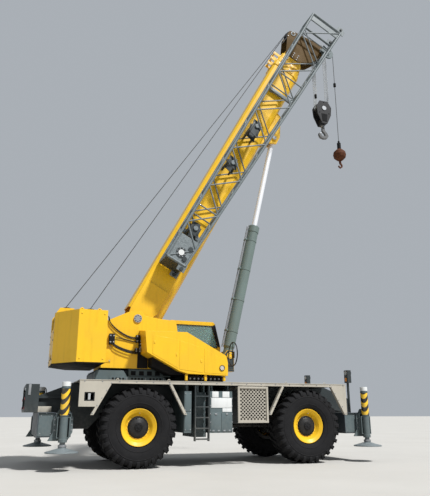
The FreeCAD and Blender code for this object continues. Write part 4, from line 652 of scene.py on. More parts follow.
# Tyres with lugs that run over the shoulders; all pairs hold (outwards, radius)
tyre = {"lugs": 28, "centreSlant": 0.12, "lugWide": 0.056, "radius": 0.95, "sides": 96,
        "carcass": [(0.0, 0.902), (0.14, 0.904), (0.25, 0.898), (0.305, 0.884), (0.338, 0.858), (0.354,
            0.822),
                    (0.361, 0.782), (0.364, 0.764), (0.370, 0.760), (0.370, 0.748), (0.364, 0.744), (0.368,
                        0.700),
                    (0.366, 0.650), (0.359, 0.600), (0.354, 0.578), (0.359, 0.573), (0.358, 0.562), (0.350,
                        0.557),
                    (0.334, 0.500), (0.314, 0.470), (0.300, 0.462), (0.278, 0.462), (0.258, 0.448), (0.250,
                        0.372)],
        "lugTop": [(0.018, 0.936), (0.10, 0.949), (0.20, 0.950), (0.285, 0.946), (0.336, 0.926), (0.362,
            0.890),
                   (0.3735, 0.845), (0.3735, 0.802)],
        "lugFoot": [(0.018, 0.880), (0.10, 0.885), (0.20, 0.885), (0.275, 0.872), (0.312, 0.848), (0.332,
            0.820),
                    (0.345, 0.800), (0.352, 0.775)],
        "lugHalf": [0.60, 0.72, 0.86, 1.0, 1.0, 0.96, 0.9, 0.82], "slant": [1.0, 0.70, 0.32, 0.04, 0, 0, 0,
            0]}
wheels = {"rear_right": (-1, -1), "rear_left": (-1, 1), "front_right": (1, -1), "front_left": (1, 1)}
wheelPlace = {"axle": 2.325, "middle": 1.315, "height": 0.95}


def wheelMatrix(end, hand):
    # wheel frame: +Y looks outwards from the machine
    place = Vector((end * wheelPlace["axle"], hand * wheelPlace["middle"], wheelPlace["height"]))
    return Matrix.Translation(place) @ Matrix.Rotation(0 if hand > 0 else math.pi, 4, "Z")


def lugShape(angle, side):
    verts, faces = [], []
    for (y, top), (yFoot, foot), half, slant in zip(tyre["lugTop"], tyre["lugFoot"], tyre["lugHalf"],
                                                    tyre["slant"]):
        middle = angle + slant * tyre["centreSlant"] / tyre["radius"]
        reach = half * tyre["lugWide"] / tyre["radius"]
        for spot, radius, share in ((y, top, -0.82), (y, top, 0.82), (yFoot, foot, 1.0), (yFoot, foot, -1.0)):
            a = middle + share * reach
            verts.append((radius * math.sin(a), side * spot, radius * math.cos(a)))
    last = len(verts) - 4
    for ring in range(0, last, 4):
        faces += band(ring, ring + 4, 4)
    return verts, faces + [[0, 1, 2, 3], [last, last + 1, last + 2, last + 3]]


def makeTyres():
    half = tyre["carcass"]
    loop = half + [(-y, r) for y, r in reversed(half) if y > 0]
    for corner, spot in wheels.items():
        kit = startPiece()
        turned(kit, loop, sides=tyre["sides"], closed=True)
        for k, side in product(range(tyre["lugs"]), (-1, 1)):
            turn = k if side > 0 else k + 0.5
            add(kit, lugShape(2 * math.pi * turn / tyre["lugs"], side), smooth=False)
        finishPiece(kit, "tyreTread_" + corner, "wheel_" + corner, ["rubber"],
                    ["tyre_" + corner],
                    wheelMatrix(*spot))


# Nuts, lock ring, flange, cap and valve of a wheel
rimTrim = {"bolts": [(0.171, 0.274, 20, 0.8, 0), (0.200, 0.222, 24, 0.8, 1), (0.262, 0.080, 8, 0.7, 1)],
           "lockRing": [(0.272, 0.416), (0.284, 0.416), (0.302, 0.430), (0.302, 0.442), (0.284, 0.448),
                        (0.272, 0.448)],
           "flange": [(0.176, 0.245), (0.196, 0.243), (0.200, 0.236), (0.200, 0.205), (0.176, 0.205)],
           "cap": [(0.238, 0.105), (0.256, 0.102), (0.262, 0.094), (0.262, 0.030), (0.270, 0.026), (0.270,
               0.0)],
           "valve": [(0.0, 0.262, 0.318), (0.0, 0.30, 0.324), (0.0, 0.318, 0.330)], "valveRadius": 0.007}


def makeRimTrim():
    for corner, spot in wheels.items():
        kit = startPiece()
        for out, *row in rimTrim["bolts"]:
            boltRing(kit, (0, out, 0), (0, 1, 0), *row)
        turned(kit, rimTrim["lockRing"], sides=72, closed=True)
        turned(kit, rimTrim["flange"], 1, sides=64, closed=True)
        turned(kit, rimTrim["cap"], 1, sides=40)
        add(kit, tubeShape(rimTrim["valve"], rimTrim["valveRadius"]), 2)
        finishPiece(kit, "wheelNuts_" + corner, "wheel_" + corner, ["yellowPaint", "blackIron", "bareSteel"],
                    place=wheelMatrix(*spot))


makeTyres()
makeRimTrim()
print("wheels dressed")

# The boom's own frame: along it, across the machine, and up from its axis
boomFrame = {"pivot": (-2.265, 0, 3.760), "angle": 62.0}
onBoom = Matrix.Translation(boomFrame["pivot"]) @ Matrix.Rotation(-math.radians(boomFrame["angle"]), 4, "Y")

# Swing-away jib, stowed along the near side of the boom; rise holds its lower and upper edge
jib = {"tail": 1.83, "nose": 12.64, "tailRise": (-0.35, 0.25), "noseRise": (-1.07, 0.14),
       "inner": -0.46, "outer": -1.18, "chord": 0.040, "lace": 0.022, "bays": 13, "grow": 0.9, "frames": (3,
           10),
       "endBay": 0.30, "tailSheet": 0.82, "cover": (2.12, -0.06), "rollers": (2.0, 2.35), "holders": (9.30,
           3.00),
       "brackets": [(2.86, 3.10, -0.08), (5.48, 5.66, -0.06), (6.92, 7.30, -0.14)],
       "endPlates": [([(1.63, -0.06), (1.87, -0.06), (1.87, 0.12), (1.80, 0.19), (1.63, 0.19)], 1.70, 0.06,
                      0.055),
                     ([(12.58, -0.12), (12.78, -0.12), (12.88, 0.0), (12.88, 0.18), (12.58, 0.18)], 12.78,
                      0.05,
                      0.045)]}


def jibRise(out, top):
    share = (out - jib["tail"]) / (jib["nose"] - jib["tail"])
    return jib["tailRise"][top] + (jib["noseRise"][top] - jib["tailRise"][top]) * share


def jibStations():
    # bays that grow towards the wide end
    lengths = [1 + jib["grow"] * bay / jib["bays"] for bay in range(jib["bays"])]
    return [jib["tail"] + (jib["nose"] - jib["tail"]) * sum(lengths[:bay]) / sum(lengths)
            for bay in range(jib["bays"] + 1)]


def makeJib():
    kit = startPiece()
    tail, nose, out, inner, lace = (jib[key] for key in ("tail", "nose", "outer", "inner", "lace"))
    corners = [(inner, 1), (out, 1), (out, 0), (inner, 0)]
    pairs = list(zip(corners, corners[1:] + corners[:1]))
    stations = jibStations()

    def spot(at, corner):
        return at, corner[0], jibRise(at, corner[1])

    def sheet(first, last):
        outline = [(first, jibRise(first, 0)), (last, jibRise(last, 0)), (last, jibRise(last, 1)),
                   (first, jibRise(first, 1))]
        plate(kit, outline, (out + 0.004, out + 0.012), 3)

    for corner in corners:
        rod(kit, spot(tail, corner), spot(nose, corner), jib["chord"], sides=16)
    for bay, (near, far) in enumerate(zip(stations, stations[1:])):
        for a, b in pairs:
            first, second = (a, b) if bay % 2 == 0 else (b, a)
            rod(kit, spot(near, first), spot(far, second), lace)
    frames = [(tail, jib["chord"]), (nose, jib["chord"])] + [(stations[bay], lace) for bay in jib["frames"]]
    for at, size in frames + [(nose - jib["endBay"], lace)]:
        for a, b in pairs:
            rod(kit, spot(at, a), spot(at, b), size, sides=14)
    sheet(nose - jib["endBay"], nose)
    low, high = jib["tailRise"]
    # dark sheet across the open tail end: painted shade inside the end frame
    plate(kit, [(inner, low), (out, low), (out, high), (inner, high)], (tail - 0.055, tail - 0.045), 1, "X")
    sheet(tail, tail + jib["tailSheet"])
    at, rise = jib["cover"]
    disc(kit, (at, 0, rise), "Y", 0.150, (out - 0.016, out + 0.004), 1)
    disc(kit, (at, 0, rise), "Y", 0.085, (out - 0.030, out - 0.016), 4, 28)
    boltRing(kit, (at, out - 0.016, rise), (0, -1, 0), 0.120, 8, 0.9, 2)
    for first, last, drop in jib["brackets"]:  # stowing brackets between the frames
        for foot in (drop - 0.16, drop + 0.10):
            box(kit, (first, last), (out + 0.05, inner - 0.05), (foot, foot + 0.06), 1, 0.006)
        outline = [(first - 0.08, drop - 0.20), (last + 0.10, drop - 0.08), (last + 0.10, drop + 0.20),
                   (first - 0.02, drop + 0.10)]
        for side in (out + 0.06, out + 0.34):
            plate(kit, outline, (side, side + 0.02), 1)
        disc(kit, (last - 0.08, 0, drop), "Y", 0.070, (out + 0.02, out + 0.06), 3)
    for side in (inner, out):  # end plates with their pins, and the rollers of the narrow end
        for end, (outline, at, rise, radius) in zip((tail, nose), jib["endPlates"]):
            low = jibRise(end, 0)
            plate(kit, [(x, low + z) for x, z in outline], (side - 0.012, side + 0.012))
            disc(kit, (at, 0, low + rise), "Y", radius, (side - 0.05, side + 0.05), 1, 24, 1.0)
        for at in jib["rollers"]:
            disc(kit, (at, 0, jibRise(at, 0) + 0.13), "Y", 0.07, (side - 0.03, side + 0.03), 1, 28, 1.0)
    for at in jib["holders"]:  # on the boom's side
        box(kit, (at, at + 0.12), (-0.460, -0.376), (-0.100, 0.0), edge=0.006)
        box(kit, (at, at + 0.12), (-0.498, -0.422), (jibRise(at, 0), jibRise(at, 1)), edge=0.006)
        addBolts(kit, product((at + 0.03, at + 0.09), (-0.498,), (-0.02, -0.10)), (0, -1, 0), 0.9, 2)
    finishPiece(kit, "jibLattice", "boom", ["galvanised", "darkPaint", "bareSteel", "jackZinc", "whitePaint"],
                ["jib"], onBoom)


makeJib()
print("jib laced")

# Collars of the telescopic sections: body, front end, half width, half depth
boomTrim = {"sections": [("boom", 10.67, 0.375, 0.52), ("mid_inner", 10.93, 0.325, 0.47),
                         ("mid_outer", 11.19, 0.275, 0.42)],
            "drop": 0.15, "proud": 0.020, "cover": 0.014, "guideRise": 0.52, "guideOut": 0.117}


def makeBoomTrim():
    drop, proud, guide = boomTrim["drop"], boomTrim["proud"], boomTrim["guideOut"]
    for body, nose, wide, deep in boomTrim["sections"]:
        kit = startPiece()
        out, top = wide + proud, deep - drop + proud
        for hand in (-1, 1):
            face = handed(hand, out, out + boomTrim["cover"])
            for rise in (0.55 * deep - drop, -0.25 * deep - drop):  # slide-pad covers
                box(kit, (nose - 0.155, nose - 0.045), face, (rise - 0.09, rise + 0.09))
                addBolts(kit, product((nose - 0.13, nose - 0.07), (hand * (out + boomTrim["cover"]),),
                                      (rise - 0.06, rise + 0.06)), (0, hand, 0), 0.75, 1)
            box(kit, (nose - 0.15, nose - 0.02), handed(hand, guide, guide + 0.05), (top - 0.002,
                top + 0.012),
                edge=0.003)  # foot of the rope guide
            addBolts(kit, product((nose - 0.13, nose - 0.04), (hand * (guide + 0.035),), (top + 0.012,)), (0,
                0, 1),
                     0.7, 1)
            turned(kit, [(hand * 0.118, 0.0), (hand * 0.118, 0.022), (hand * 0.126, 0.018), (hand * 0.126,
                0.0)], 1,
                   (nose - 0.08, 0, boomTrim["guideRise"]), sides=16)
        finishPiece(kit, "boomCollarTrim_" + body, body, ["yellowPaint", "bareSteel"],
                    place=onBoom)


makeBoomTrim()
print("boom trimmed")

# Lamps let into the deck's sides, and those on the posts
lampTrim = {"x": (-3.690, -3.446), "z": (1.560, 1.765), "face": (1.682, 1.6895), "rim": 0.018, "bar": (-3.60,
    -3.545),
            "posts": 1.2, "lenses": [(2.41, 2), (2.22, 3)], "lensAt": [(3.990, 0.066, (0.0, 0.014)),
                                                                      (3.870, 0.058, (-0.012, 0.0))]}


def makeSideLamps():
    kit = startPiece()
    x, z = lampTrim["x"], lampTrim["z"]
    for hand in (-1, 1):
        face = handed(hand, *lampTrim["face"])
        boxFrame(kit, x, face, z, lampTrim["rim"], 0, 0.003)
        box(kit, (x[0] + 0.02, x[1] - 0.02), handed(hand, 1.668, 1.682), (z[0] + 0.02, z[1] - 0.02), 1)
        box(kit, lampTrim["bar"], face, (z[0] + 0.03, z[1] - 0.03), 2, 0.003)
        post = hand * lampTrim["posts"]
        for (height, finish), (at, radius, span) in product(lampTrim["lenses"], lampTrim["lensAt"]):
            disc(kit, (at, post, height), "X", radius, span, finish)
        turned(kit, [(0.0, 0.074), (0.02, 0.076), (0.02, 0.066), (0.0, 0.066)], 0, (3.990, post, 2.41), "X",
               32, True)
    finishPiece(kit, "sideLamps", "root", ["blackPlastic", "blackIron", "clearLens", "amberLens"])


# Side locker by the ladder and the far tanks: rows hold x from and to, z from and to
lockerTrim = {"face": 1.590, "ladderFace": 1.430,
              "plates": [(-0.441, -0.252, 1.672, 1.826), (-0.157, 0.050, 1.672, 1.828),
                         (-0.464, 0.112, 1.414, 1.668), (-0.158, 0.112, 1.313, 1.412)],
              "doors": [(-0.464, -0.19, 0.83, 1.30), (-0.176, 0.112, 0.83, 1.30), (-1.165, -1.005, 0.86,
                  1.30),
                        (-1.165, -1.005, 1.33, 1.78)], "latches": (-0.33, -0.03),
              "ladderPanels": [(-0.80, -0.62, 1.36, 1.70), (-0.80, -0.62, 0.80, 1.26)],
              "tanks": [(-0.95, 0.02, 0.90, 1.72), (0.08, 1.05, 0.90, 1.72)], "straps": (-0.98, 0.05, 1.07)}


def makeLockerTrim():
    kit = startPiece()
    far, y, ladder = lockerTrim["face"], -lockerTrim["face"], -lockerTrim["ladderFace"]
    for x0, x1, z0, z1 in lockerTrim["plates"]:
        box(kit, (x0 + 0.006, x1 - 0.006), (y - 0.012, y), (z0, z1 - 0.006), 1, 0.003)
    for rows, face in (("doors", (y - 0.010, y)), ("ladderPanels", (ladder - 0.012, ladder)),
                       ("tanks", (far, far + 0.012))):
        for x0, x1, z0, z1 in lockerTrim[rows]:
            box(kit, (x0, x1), face, (z0, z1))
    for x in lockerTrim["latches"]:  # door latches and hinges
        box(kit, (x - 0.03, x + 0.03), (y - 0.022, y - 0.010), (1.24, 1.275), 2, 0.003)
        for side in (x - 0.10, x + 0.04):
            box(kit, (side, side + 0.06), (y - 0.020, y - 0.008), (0.835, 0.87), 2, 0.003)
    for xs, face, zs, size in (((-0.475, 0.118), y, (0.86, 1.06, 1.26, 1.46, 1.66), 0.8),
                               ((-1.15, -1.02), y - 0.010, (0.88, 1.28, 1.35, 1.76), 0.8),
                               ((-0.86, -0.56), ladder, (0.74, 1.0, 1.3, 1.6, 1.76), 0.9)):
        addBolts(kit, product(xs, (face,), zs), (0, -1, 0), size, 2)
    for x in lockerTrim["straps"]:
        box(kit, (x - 0.02, x + 0.02), (far, far + 0.016), (0.86, 1.76), 2, 0.003)
    disc(kit, (0.60, 1.45, 1.76), "Z", 0.06, (0.0, 0.05), 2)  # filler cap
    finishPiece(kit, "lockerTrim", "root", ["greyPaint", "whitePaint", "bareSteel"])


# Deck: bolts down its sides and fender lips, tie-down rings and anti-slip panels of raised bars
deckTrim = {"side": 1.690, "top": 2.060, "axle": 2.325, "tieDowns": (-2.9, -1.6, 1.7, 2.9),
            "panels": [(0.10, 3.40, -1.62, -0.10), (0.10, 3.40, 0.10, 1.62), (-3.70, -1.35, 0.88, 1.62),
                       (-3.70, -1.35, -1.62, -0.88)], "pitch": (0.11, 0.055), "barTall": 0.0035,
            "bar": [(-0.018, -0.018), (0.018, 0.018), (0.022, 0.012), (-0.012, -0.022)]}


def makeDeckTrim():
    kit = startPiece()
    top = deckTrim["top"]
    for hand in (-1, 1):
        side = hand * deckTrim["side"]
        addBolts(kit, [(-3.7 + 0.42 * k, side, 2.02) for k in range(18)], (0, hand, 0), 0.8, 1)
        for end, way in product((-1, 1), (-1, 1)):
            high, foot = end * deckTrim["axle"] + way * 0.735, end * deckTrim["axle"] + way * 1.16
            addBolts(kit, [(high + (foot - high) * k / 4, side, 1.98 - 0.70 * k / 4) for k in range(5)],
                     (0, hand, 0), 0.75, 1)
        box(kit, (-3.80, 3.49), handed(hand, deckTrim["side"], deckTrim["side"] + 0.010), (top - 0.017, top),
            0, 0.002)
        for x in deckTrim["tieDowns"]:
            turned(kit, [(0.008 * c, 0.030 + 0.008 * s) for c, s in circle(8)], 0, (x, hand * 1.60,
                top + 0.008),
                   sides=24, closed=True)
    step, row = deckTrim["pitch"]
    for x0, x1, y0, y1 in deckTrim["panels"]:
        box(kit, (x0, x1), (y0, y1), (top, top + 0.003), 0, 0.001)
        for i, k in product(range(int((y1 - y0) / row)), range(int((x1 - x0) / step))):
            lean = 1 if (i + k) % 2 else -1
            x, y = x0 + 0.055 + k * step, y0 + 0.03 + i * row
            plate(kit, [(x + dx, y + lean * dy) for dx, dy in deckTrim["bar"]],
                  (top + 0.003, top + 0.003 + deckTrim["barTall"]), 0, "Z", 0)
    finishPiece(kit, "deckTrim", "root", ["deckPaint", "bareSteel"])


# Engine hood: side doors with louvres and latches, grille, exhaust
hoodTrim = {"side": 0.800, "doors": (-2.96, -2.46, -1.97), "louvres": 4, "top": 2.350, "grille": 9,
            "exhaust": [(-3.00, 0.86, 2.06), (-3.00, 0.86, 2.30), (-3.02, 0.86, 2.42), (-3.10, 0.86, 2.46)],
            "exhaustRadius": 0.055}


def makeHoodTrim():
    kit = startPiece()
    side, top = hoodTrim["side"], hoodTrim["top"]
    for hand, x in product((-1, 1), hoodTrim["doors"]):
        box(kit, (x - 0.02, x + 0.44), handed(hand, side, side + 0.012), (2.085, 2.185))
        for at in [x + 0.05 + 0.09 * k for k in range(hoodTrim["louvres"])]:
            box(kit, (at, at + 0.05), handed(hand, side + 0.012, side + 0.022), (2.10, 2.17), 1, 0.002)
        box(kit, (x + 0.425, x + 0.445), handed(hand, side, side + 0.030), (2.11, 2.17), 2, 0.002)
    for at in [-3.28 + 0.06 * k for k in range(hoodTrim["grille"])]:
        box(kit, (at, at + 0.03), (-0.55, 0.55), (top, top + 0.012), 1, 0.002)
    addBolts(kit, product((-3.32, -2.66), (-0.7, -0.35, 0.0, 0.35, 0.7), (top,)), (0, 0, 1), 0.8, 2)
    pipe(kit, hoodTrim["exhaust"], hoodTrim["exhaustRadius"], 1, 16)
    finishPiece(kit, "hoodTrim", "root", ["greyPaint", "blackIron", "bareSteel"])


# Tail frame: lamp clusters, bolts and the pipes along the outrigger tubes
tailTrim = {"back": -5.005, "lamps": [(1.40, 2), (1.62, 2), (1.84, 3)], "lampOut": 1.02, "boltRows": (1.345,
    1.915),
            "pipes": ((-3.93, -1), (3.63, 1)), "pipeRadius": 0.011}


def makeTailTrim():
    kit = startPiece()
    back = tailTrim["back"]
    for hand in (-1, 1):
        for z, finish in tailTrim["lamps"]:
            disc(kit, (back, hand * tailTrim["lampOut"], z), "X", 0.036, (-0.012, 0.0), finish)
        box(kit, (-4.945, -4.885), handed(hand, 1.100, 1.112), (1.70, 1.95), 1)
    addBolts(kit, product((back,), [-0.9 + 0.3 * k for k in range(7)], tailTrim["boltRows"]), (-1, 0, 0),
             0.9, 1)
    box(kit, (-4.70, -4.38), (-1.10, -0.98), (1.302, 1.44), 0, 0.006)
    for (x, way), k in product(tailTrim["pipes"], range(3)):
        at, rise = x + way * 0.03 * k, 1.33 + 0.02 * k
        pipe(kit, [(at, -1.1, 1.33), (at, -0.5, rise), (at, 0.5, rise), (at, 1.1, 1.33)],
             tailTrim["pipeRadius"], 4)
    finishPiece(kit, "tailTrim", "root", ["deckPaint", "bareSteel", "redLens", "clearLens", "blackIron"])


# Steering cylinders behind the axles, which hold still, and the bolts of the axle housings
steering = {"axle": 2.325, "behind": 0.30, "height": 0.92, "radius": 0.045, "span": (0.10, 0.62),
            "housing": 0.315}


def makeSteering():
    kit = startPiece()
    for end in (-1, 1):
        x = end * steering["axle"]
        for hand in (-1, 1):
            disc(kit, (x - end * steering["behind"], 0, steering["height"]), "Y", steering["radius"],
                 handed(hand, *steering["span"]), 0, 20, 1.0)
        addBolts(kit, [(x + way * steering["housing"], 0.20 * c, 0.95 + 0.20 * s)
                       for way in (-1, 1) for c, s in circle(12)], (1, 0, 0), 1.0, 1)
    finishPiece(kit, "steeringCylinders", "root", ["darkPaint", "bareSteel"])


# Jacks: striped sleeve between two rings, white cap, bolts and hose; floats with their ribs and gaiter
jacks = {"rear_right": (-4.105, -1.56), "rear_left": (-4.495, 1.56), "front_right": (4.200, -1.56),
         "front_left": (3.810, 1.56)}
jackTrim = {"stripes": (1.235, 1.835), "rings": (1.222, 1.845),
            "cap": [(1.895, 0.1002), (1.895, 0.1040), (1.992, 0.1040), (1.999, 0.0980), (1.999, 0.0200),
                    (1.9905, 0.0200)],
            "collar": [(0.632, 0.090), (0.632, 0.102), (0.70, 0.102), (0.71, 0.090)],
            "hose": [(0.06, -0.04, 1.97), (0.12, -0.06, 1.92), (0.125, -0.07, 1.6), (0.125, -0.08, 1.40)]}
floatTrim = {"lip": [(0.400, 0.378), (0.410, 0.384), (0.426, 0.378)], "ribs": 8,
             "rib": [(0.094, 0.43), (0.335, 0.43), (0.335, 0.438), (0.094, 0.505)],
             "gaiter": [(0.53, 0.092), (0.53, 0.098), (0.565, 0.098), (0.58, 0.078), (0.58, 0.066)]}


def makeJackTrim():
    for corner, (x, y) in jacks.items():
        hand = -1 if y < 0 else 1
        foot = (x, y, 0)
        kit = startPiece()
        sleeve(kit, foot, "Z", (0.1002, 0.1022), jackTrim["stripes"], 3)
        for z in jackTrim["rings"]:
            sleeve(kit, foot, "Z", (0.098, 0.107), (z, z + 0.014))
        turned(kit, jackTrim["cap"], 4, foot, "Z", 48, True)
        boltRing(kit, (x, y, 1.999), (0, 0, 1), 0.052, 6, 0.7, 1)
        turned(kit, jackTrim["collar"], 0, foot, "Z", 48, True)
        addBolts(kit, product((x - 0.19, x + 0.19), (hand * 1.430,), (0.90, 1.02, 1.14)), (0, hand, 0), 1.0,
                 1)
        addBolts(kit, product((x - 0.12, x + 0.12), (-hand * 1.362,), (0.82, 1.22)), (0, -hand, 0), 0.7, 1)
        pipe(kit, [(x + dx, y + hand * dy, z) for dx, dy, z in jackTrim["hose"]], 0.012, 2)
        finishPiece(kit, "jackTrim_" + corner, "outrigger_" + corner,
                    ["greyPaint", "bareSteel", "blackPlastic", "stripes", "whitePaint"])
        kit = startPiece()
        turned(kit, floatTrim["lip"], 0, foot, "Z", 64, True)
        for k in range(floatTrim["ribs"]):
            turn = Matrix.Translation(foot) @ Matrix.Rotation(2 * math.pi * k / floatTrim["ribs"], 4, "Z")
            plate(kit, floatTrim["rib"], (-0.006, 0.006), place=turn)
        boltRing(kit, (x, y, 0.427), (0, 0, 1), 0.35, 8, 0.9, 1, 0.39)
        turned(kit, floatTrim["gaiter"], 1, foot, "Z", 40, True)
        finishPiece(kit, "floatTrim_" + corner, "jack_" + corner, ["jackZinc", "bareSteel"])


makeSideLamps()
makeLockerTrim()
makeDeckTrim()
makeHoodTrim()
makeTailTrim()
makeSteering()
makeJackTrim()
print("carrier trimmed")

# Turntable: pivot caps, ring bolts, housing feet, dark sheets as painted shade under it and beside the cheek,
# rotary case and the cylinder's ears
slewTrim = {"cheek": 0.660, "cap": (0.684, 0.696), "ring": (-0.625, 0, 2.500), "feet": (-1.06, -0.53, 0.0),
            "shadeUndersides": [(-3.185, -1.350), (0.110, 0.295)], "windows": 5, "earFace": 0.250,
            "shadeGap": [(-2.235, 2.43), (-2.235, 2.86), (-1.95, 2.97), (-1.95, 2.43)],
            "ear": [(0.190, 2.505), (0.712, 2.505), (0.722, 2.958), (0.674, 3.044), (0.524, 3.044), (0.414,
                2.902)]}


def makeSlewTrim():
    kit = startPiece()
    pivot, (near, far) = boomFrame["pivot"], slewTrim["cap"]
    cheek, ear = slewTrim["cheek"], slewTrim["earFace"]
    for hand in (-1, 1):
        disc(kit, pivot, "Y", 0.112, handed(hand, near, far), 2)
        boltRing(kit, (pivot[0], hand * far, pivot[2]), (0, hand, 0), 0.082, 8, 0.7, 1)
        box(kit, (-3.15, -2.95), handed(hand, cheek, cheek + 0.012), (2.56, 3.02))
        addBolts(kit, product((-3.12, -2.98), (hand * (cheek + 0.012),), (2.6, 2.98)), (0, hand, 0), 0.9, 2)
        for at in [-2.38 + 0.22 * k for k in range(slewTrim["windows"])]:
            box(kit, (at, at + 0.13), handed(hand, 0.600, 0.606), (2.25, 2.36), 1, 0.002)
        plate(kit, slewTrim["ear"], handed(hand, ear, ear + 0.007), 4, edge=0.002)
        boltRing(kit, (0.598, hand * 0.280, 2.900), (0, hand, 0), 0.060, 6, 0.8, 2)
        box(kit, (0.302, 0.715), handed(hand, ear, ear + 0.006), (2.442, 2.500), 4, 0.002)
    boltRing(kit, slewTrim["ring"], (0, 0, 1), 0.54, 30, 1.3, 2)
    for x in slewTrim["feet"]:
        box(kit, (x - 0.03, x + 0.03), (-1.36, -1.28), (2.10, 2.262))
    # dark sheets under the turntable: painted shade
    for x in slewTrim["shadeUndersides"]:
        box(kit, x, (-0.655, 0.655), (2.411, 2.418), 1, 0.002)
    box(kit, (-2.44, -1.28), (-0.60, 0.60), (2.216, 2.411), 3, 0.012)  # rotary pipe case behind the ring
    # dark sheet on the cheek under the housing's slanted edge: painted shade
    plate(kit, slewTrim["shadeGap"], (-0.674, -0.660), 1, edge=0.002)
    box(kit, (0.718, 0.725), (-0.248, 0.248), (2.442, 2.498), 4, 0.002)
    finishPiece(kit, "turntableTrim", "superstructure",
                ["yellowPaint", "blackIron", "bareSteel", "greyPaint", "darkPaint"])


# Valve bank beneath the housing, and the hoses and valve blocks beside the cheek (runs hold x and z)
valveBank = {"bank": 9, "hoseFace": -0.690, "hoseRadius": 0.013,
             "hoses": [([(-3.065, 3.778), (-3.015, 3.622), (-2.849, 3.456), (-2.613, 3.310), (-2.397, 3.243),
                         (-2.100, 3.241)], 2),
                       ([(-2.836, 3.213), (-2.642, 3.187), (-2.429, 3.144), (-2.285, 3.115)], 1),
                       ([(-3.006, 3.136), (-2.844, 3.022), (-2.666, 2.943), (-2.452, 2.883), (-2.240,
                           2.865)], 3)],
             "blocks": [(-2.95, 3.17, 0.075, 0.14), (-2.22, 3.20, 0.085, 0.10), (-2.12, 3.02, 0.10, 0.07),
                        (-2.24, 2.90, 0.08, 0.05)],
             "machineryShade": [(-1.95, 2.46), (-1.45, 2.25), (-0.45, 2.25), (-0.45, 2.30), (-1.30, 2.39), (-1.95,
                 2.72)]}


def makeValveBank():
    kit = startPiece()
    box(kit, (-1.00, 0.02), (-1.22, -0.74), (2.09, 2.232), 0, 0.01)
    for x in [-0.94 + 0.115 * k for k in range(valveBank["bank"])]:
        box(kit, (x - 0.04, x + 0.04), (-1.26, -1.215), (2.11, 2.20), 0, 0.006)
        disc(kit, (x, 0, 2.155), "Y", 0.022, (-1.30, -1.26), 1, 14)
    plate(kit, valveBank["machineryShade"], (-1.20, -0.70), 2, edge=0.01)  # dark sheet beneath the slanted edge: partly dark machinery, partly painted shade
    for run, count in valveBank["hoses"]:
        for k in range(count):
            pipe(kit, [(x + 0.012 * k, valveBank["hoseFace"] - 0.030 * k, z - 0.034 * k) for x, z in run],
                 valveBank["hoseRadius"])
    for x, z, wide, tall in valveBank["blocks"]:
        box(kit, (x - wide, x + wide), (-0.76, -0.662), (z - tall, z + tall), 2, 0.012)
        addBolts(kit, product((x - 0.6 * wide, x + 0.6 * wide), (-0.76,), (z - 0.6 * tall, z + 0.6 * tall)),
                 (0, -1, 0), 1.1, 1)
    for k in range(4):  # hoses to the lift cylinder
        pipe(kit, [(-0.2 + 0.07 * k, 0.30, 2.52), (-0.1 + 0.07 * k, 0.28, 2.75), (0.15 + 0.05 * k, 0.27,
            2.82),
                   (0.42, 0.262, 2.74 - 0.03 * k)], 0.014)
    finishPiece(kit, "valveBank", "superstructure", ["blackPlastic", "bareSteel", "blackIron"])


# Side housing: raised covers, their latches and the lamp at its nose
housingTrim = {"face": -1.400, "lamp": (-0.086, 0, 2.439), "latches": ((-1.95, 3.05), (-1.35, 2.75), (-0.67,
    2.6)),
               "covers": [[(-2.00, 2.76), (-1.30, 2.40), (-1.30, 3.14), (-2.00, 3.24)],
                          [(-1.27, 2.38), (-0.62, 2.30), (-0.62, 2.95), (-1.27, 3.12)],
                          [(-0.58, 2.30), (0.02, 2.28), (0.02, 2.62), (-0.58, 2.93)]]}


def makeHousingTrim():
    kit = startPiece()
    y, lamp = housingTrim["face"], housingTrim["lamp"]
    for outline in housingTrim["covers"]:
        plate(kit, outline, (y - 0.005, y), edge=0.002)
    for x, z in housingTrim["latches"]:
        box(kit, (x - 0.02, x + 0.02), (y - 0.014, y - 0.005), (z - 0.035, z + 0.035), 0, 0.003)
    disc(kit, lamp, "Y", 0.060, (y - 0.020, y), 2)
    sleeve(kit, lamp, "Y", (0.060, 0.074), (y - 0.026, y), 1, 36)
    finishPiece(kit, "housingTrim", "superstructure", ["yellowPaint", "blackPlastic", "clearLens"])


# Counterweight: a dark sheet under it as painted shade, lifting lugs, cover bolts and a striped bar at the
# back
weightTrim = {"plan": [(-3.200, -1.415), (-3.913, -1.415), (-4.435, -0.618), (-4.435, 0.618), (-3.913, 1.415),
                       (-3.200, 1.415)], "lugs": (-3.35, -3.80), "lugOut": 0.95, "back": -4.44,
              "lug": [(-0.07, 3.80), (0.07, 3.80), (0.05, 3.90), (0.0, 3.93), (-0.05, 3.90)]}


def makeWeightTrim():
    kit = startPiece()
    # dark sheet under the counterweight: painted shade
    plate(kit, weightTrim["plan"], (2.481, 2.489), 1, "Z", 0.002)
    for hand in (-1, 1):
        out = hand * weightTrim["lugOut"]
        for x in weightTrim["lugs"]:
            plate(kit, [(x + dx, z) for dx, z in weightTrim["lug"]], (out - 0.015, out + 0.015), edge=0.004)
            disc(kit, (x, out, 3.875), "Y", 0.022, (-0.018, 0.018), 1, 16)
        addBolts(kit, product((-3.27, -3.84), (hand * 1.42,), (2.58, 3.70)), (0, hand, 0), 1.2, 0)
    addBolts(kit, product((weightTrim["back"],), (-0.5, 0.5), (2.6, 3.1, 3.3)), (-1, 0, 0), 1.4, 2)
    box(kit, (weightTrim["back"] - 0.012, weightTrim["back"]), (-0.30, 0.30), (2.62, 2.74), 3, 0.003)
    finishPiece(kit, "weightTrim", "superstructure", ["yellowPaint", "blackIron", "bareSteel", "stripes"])


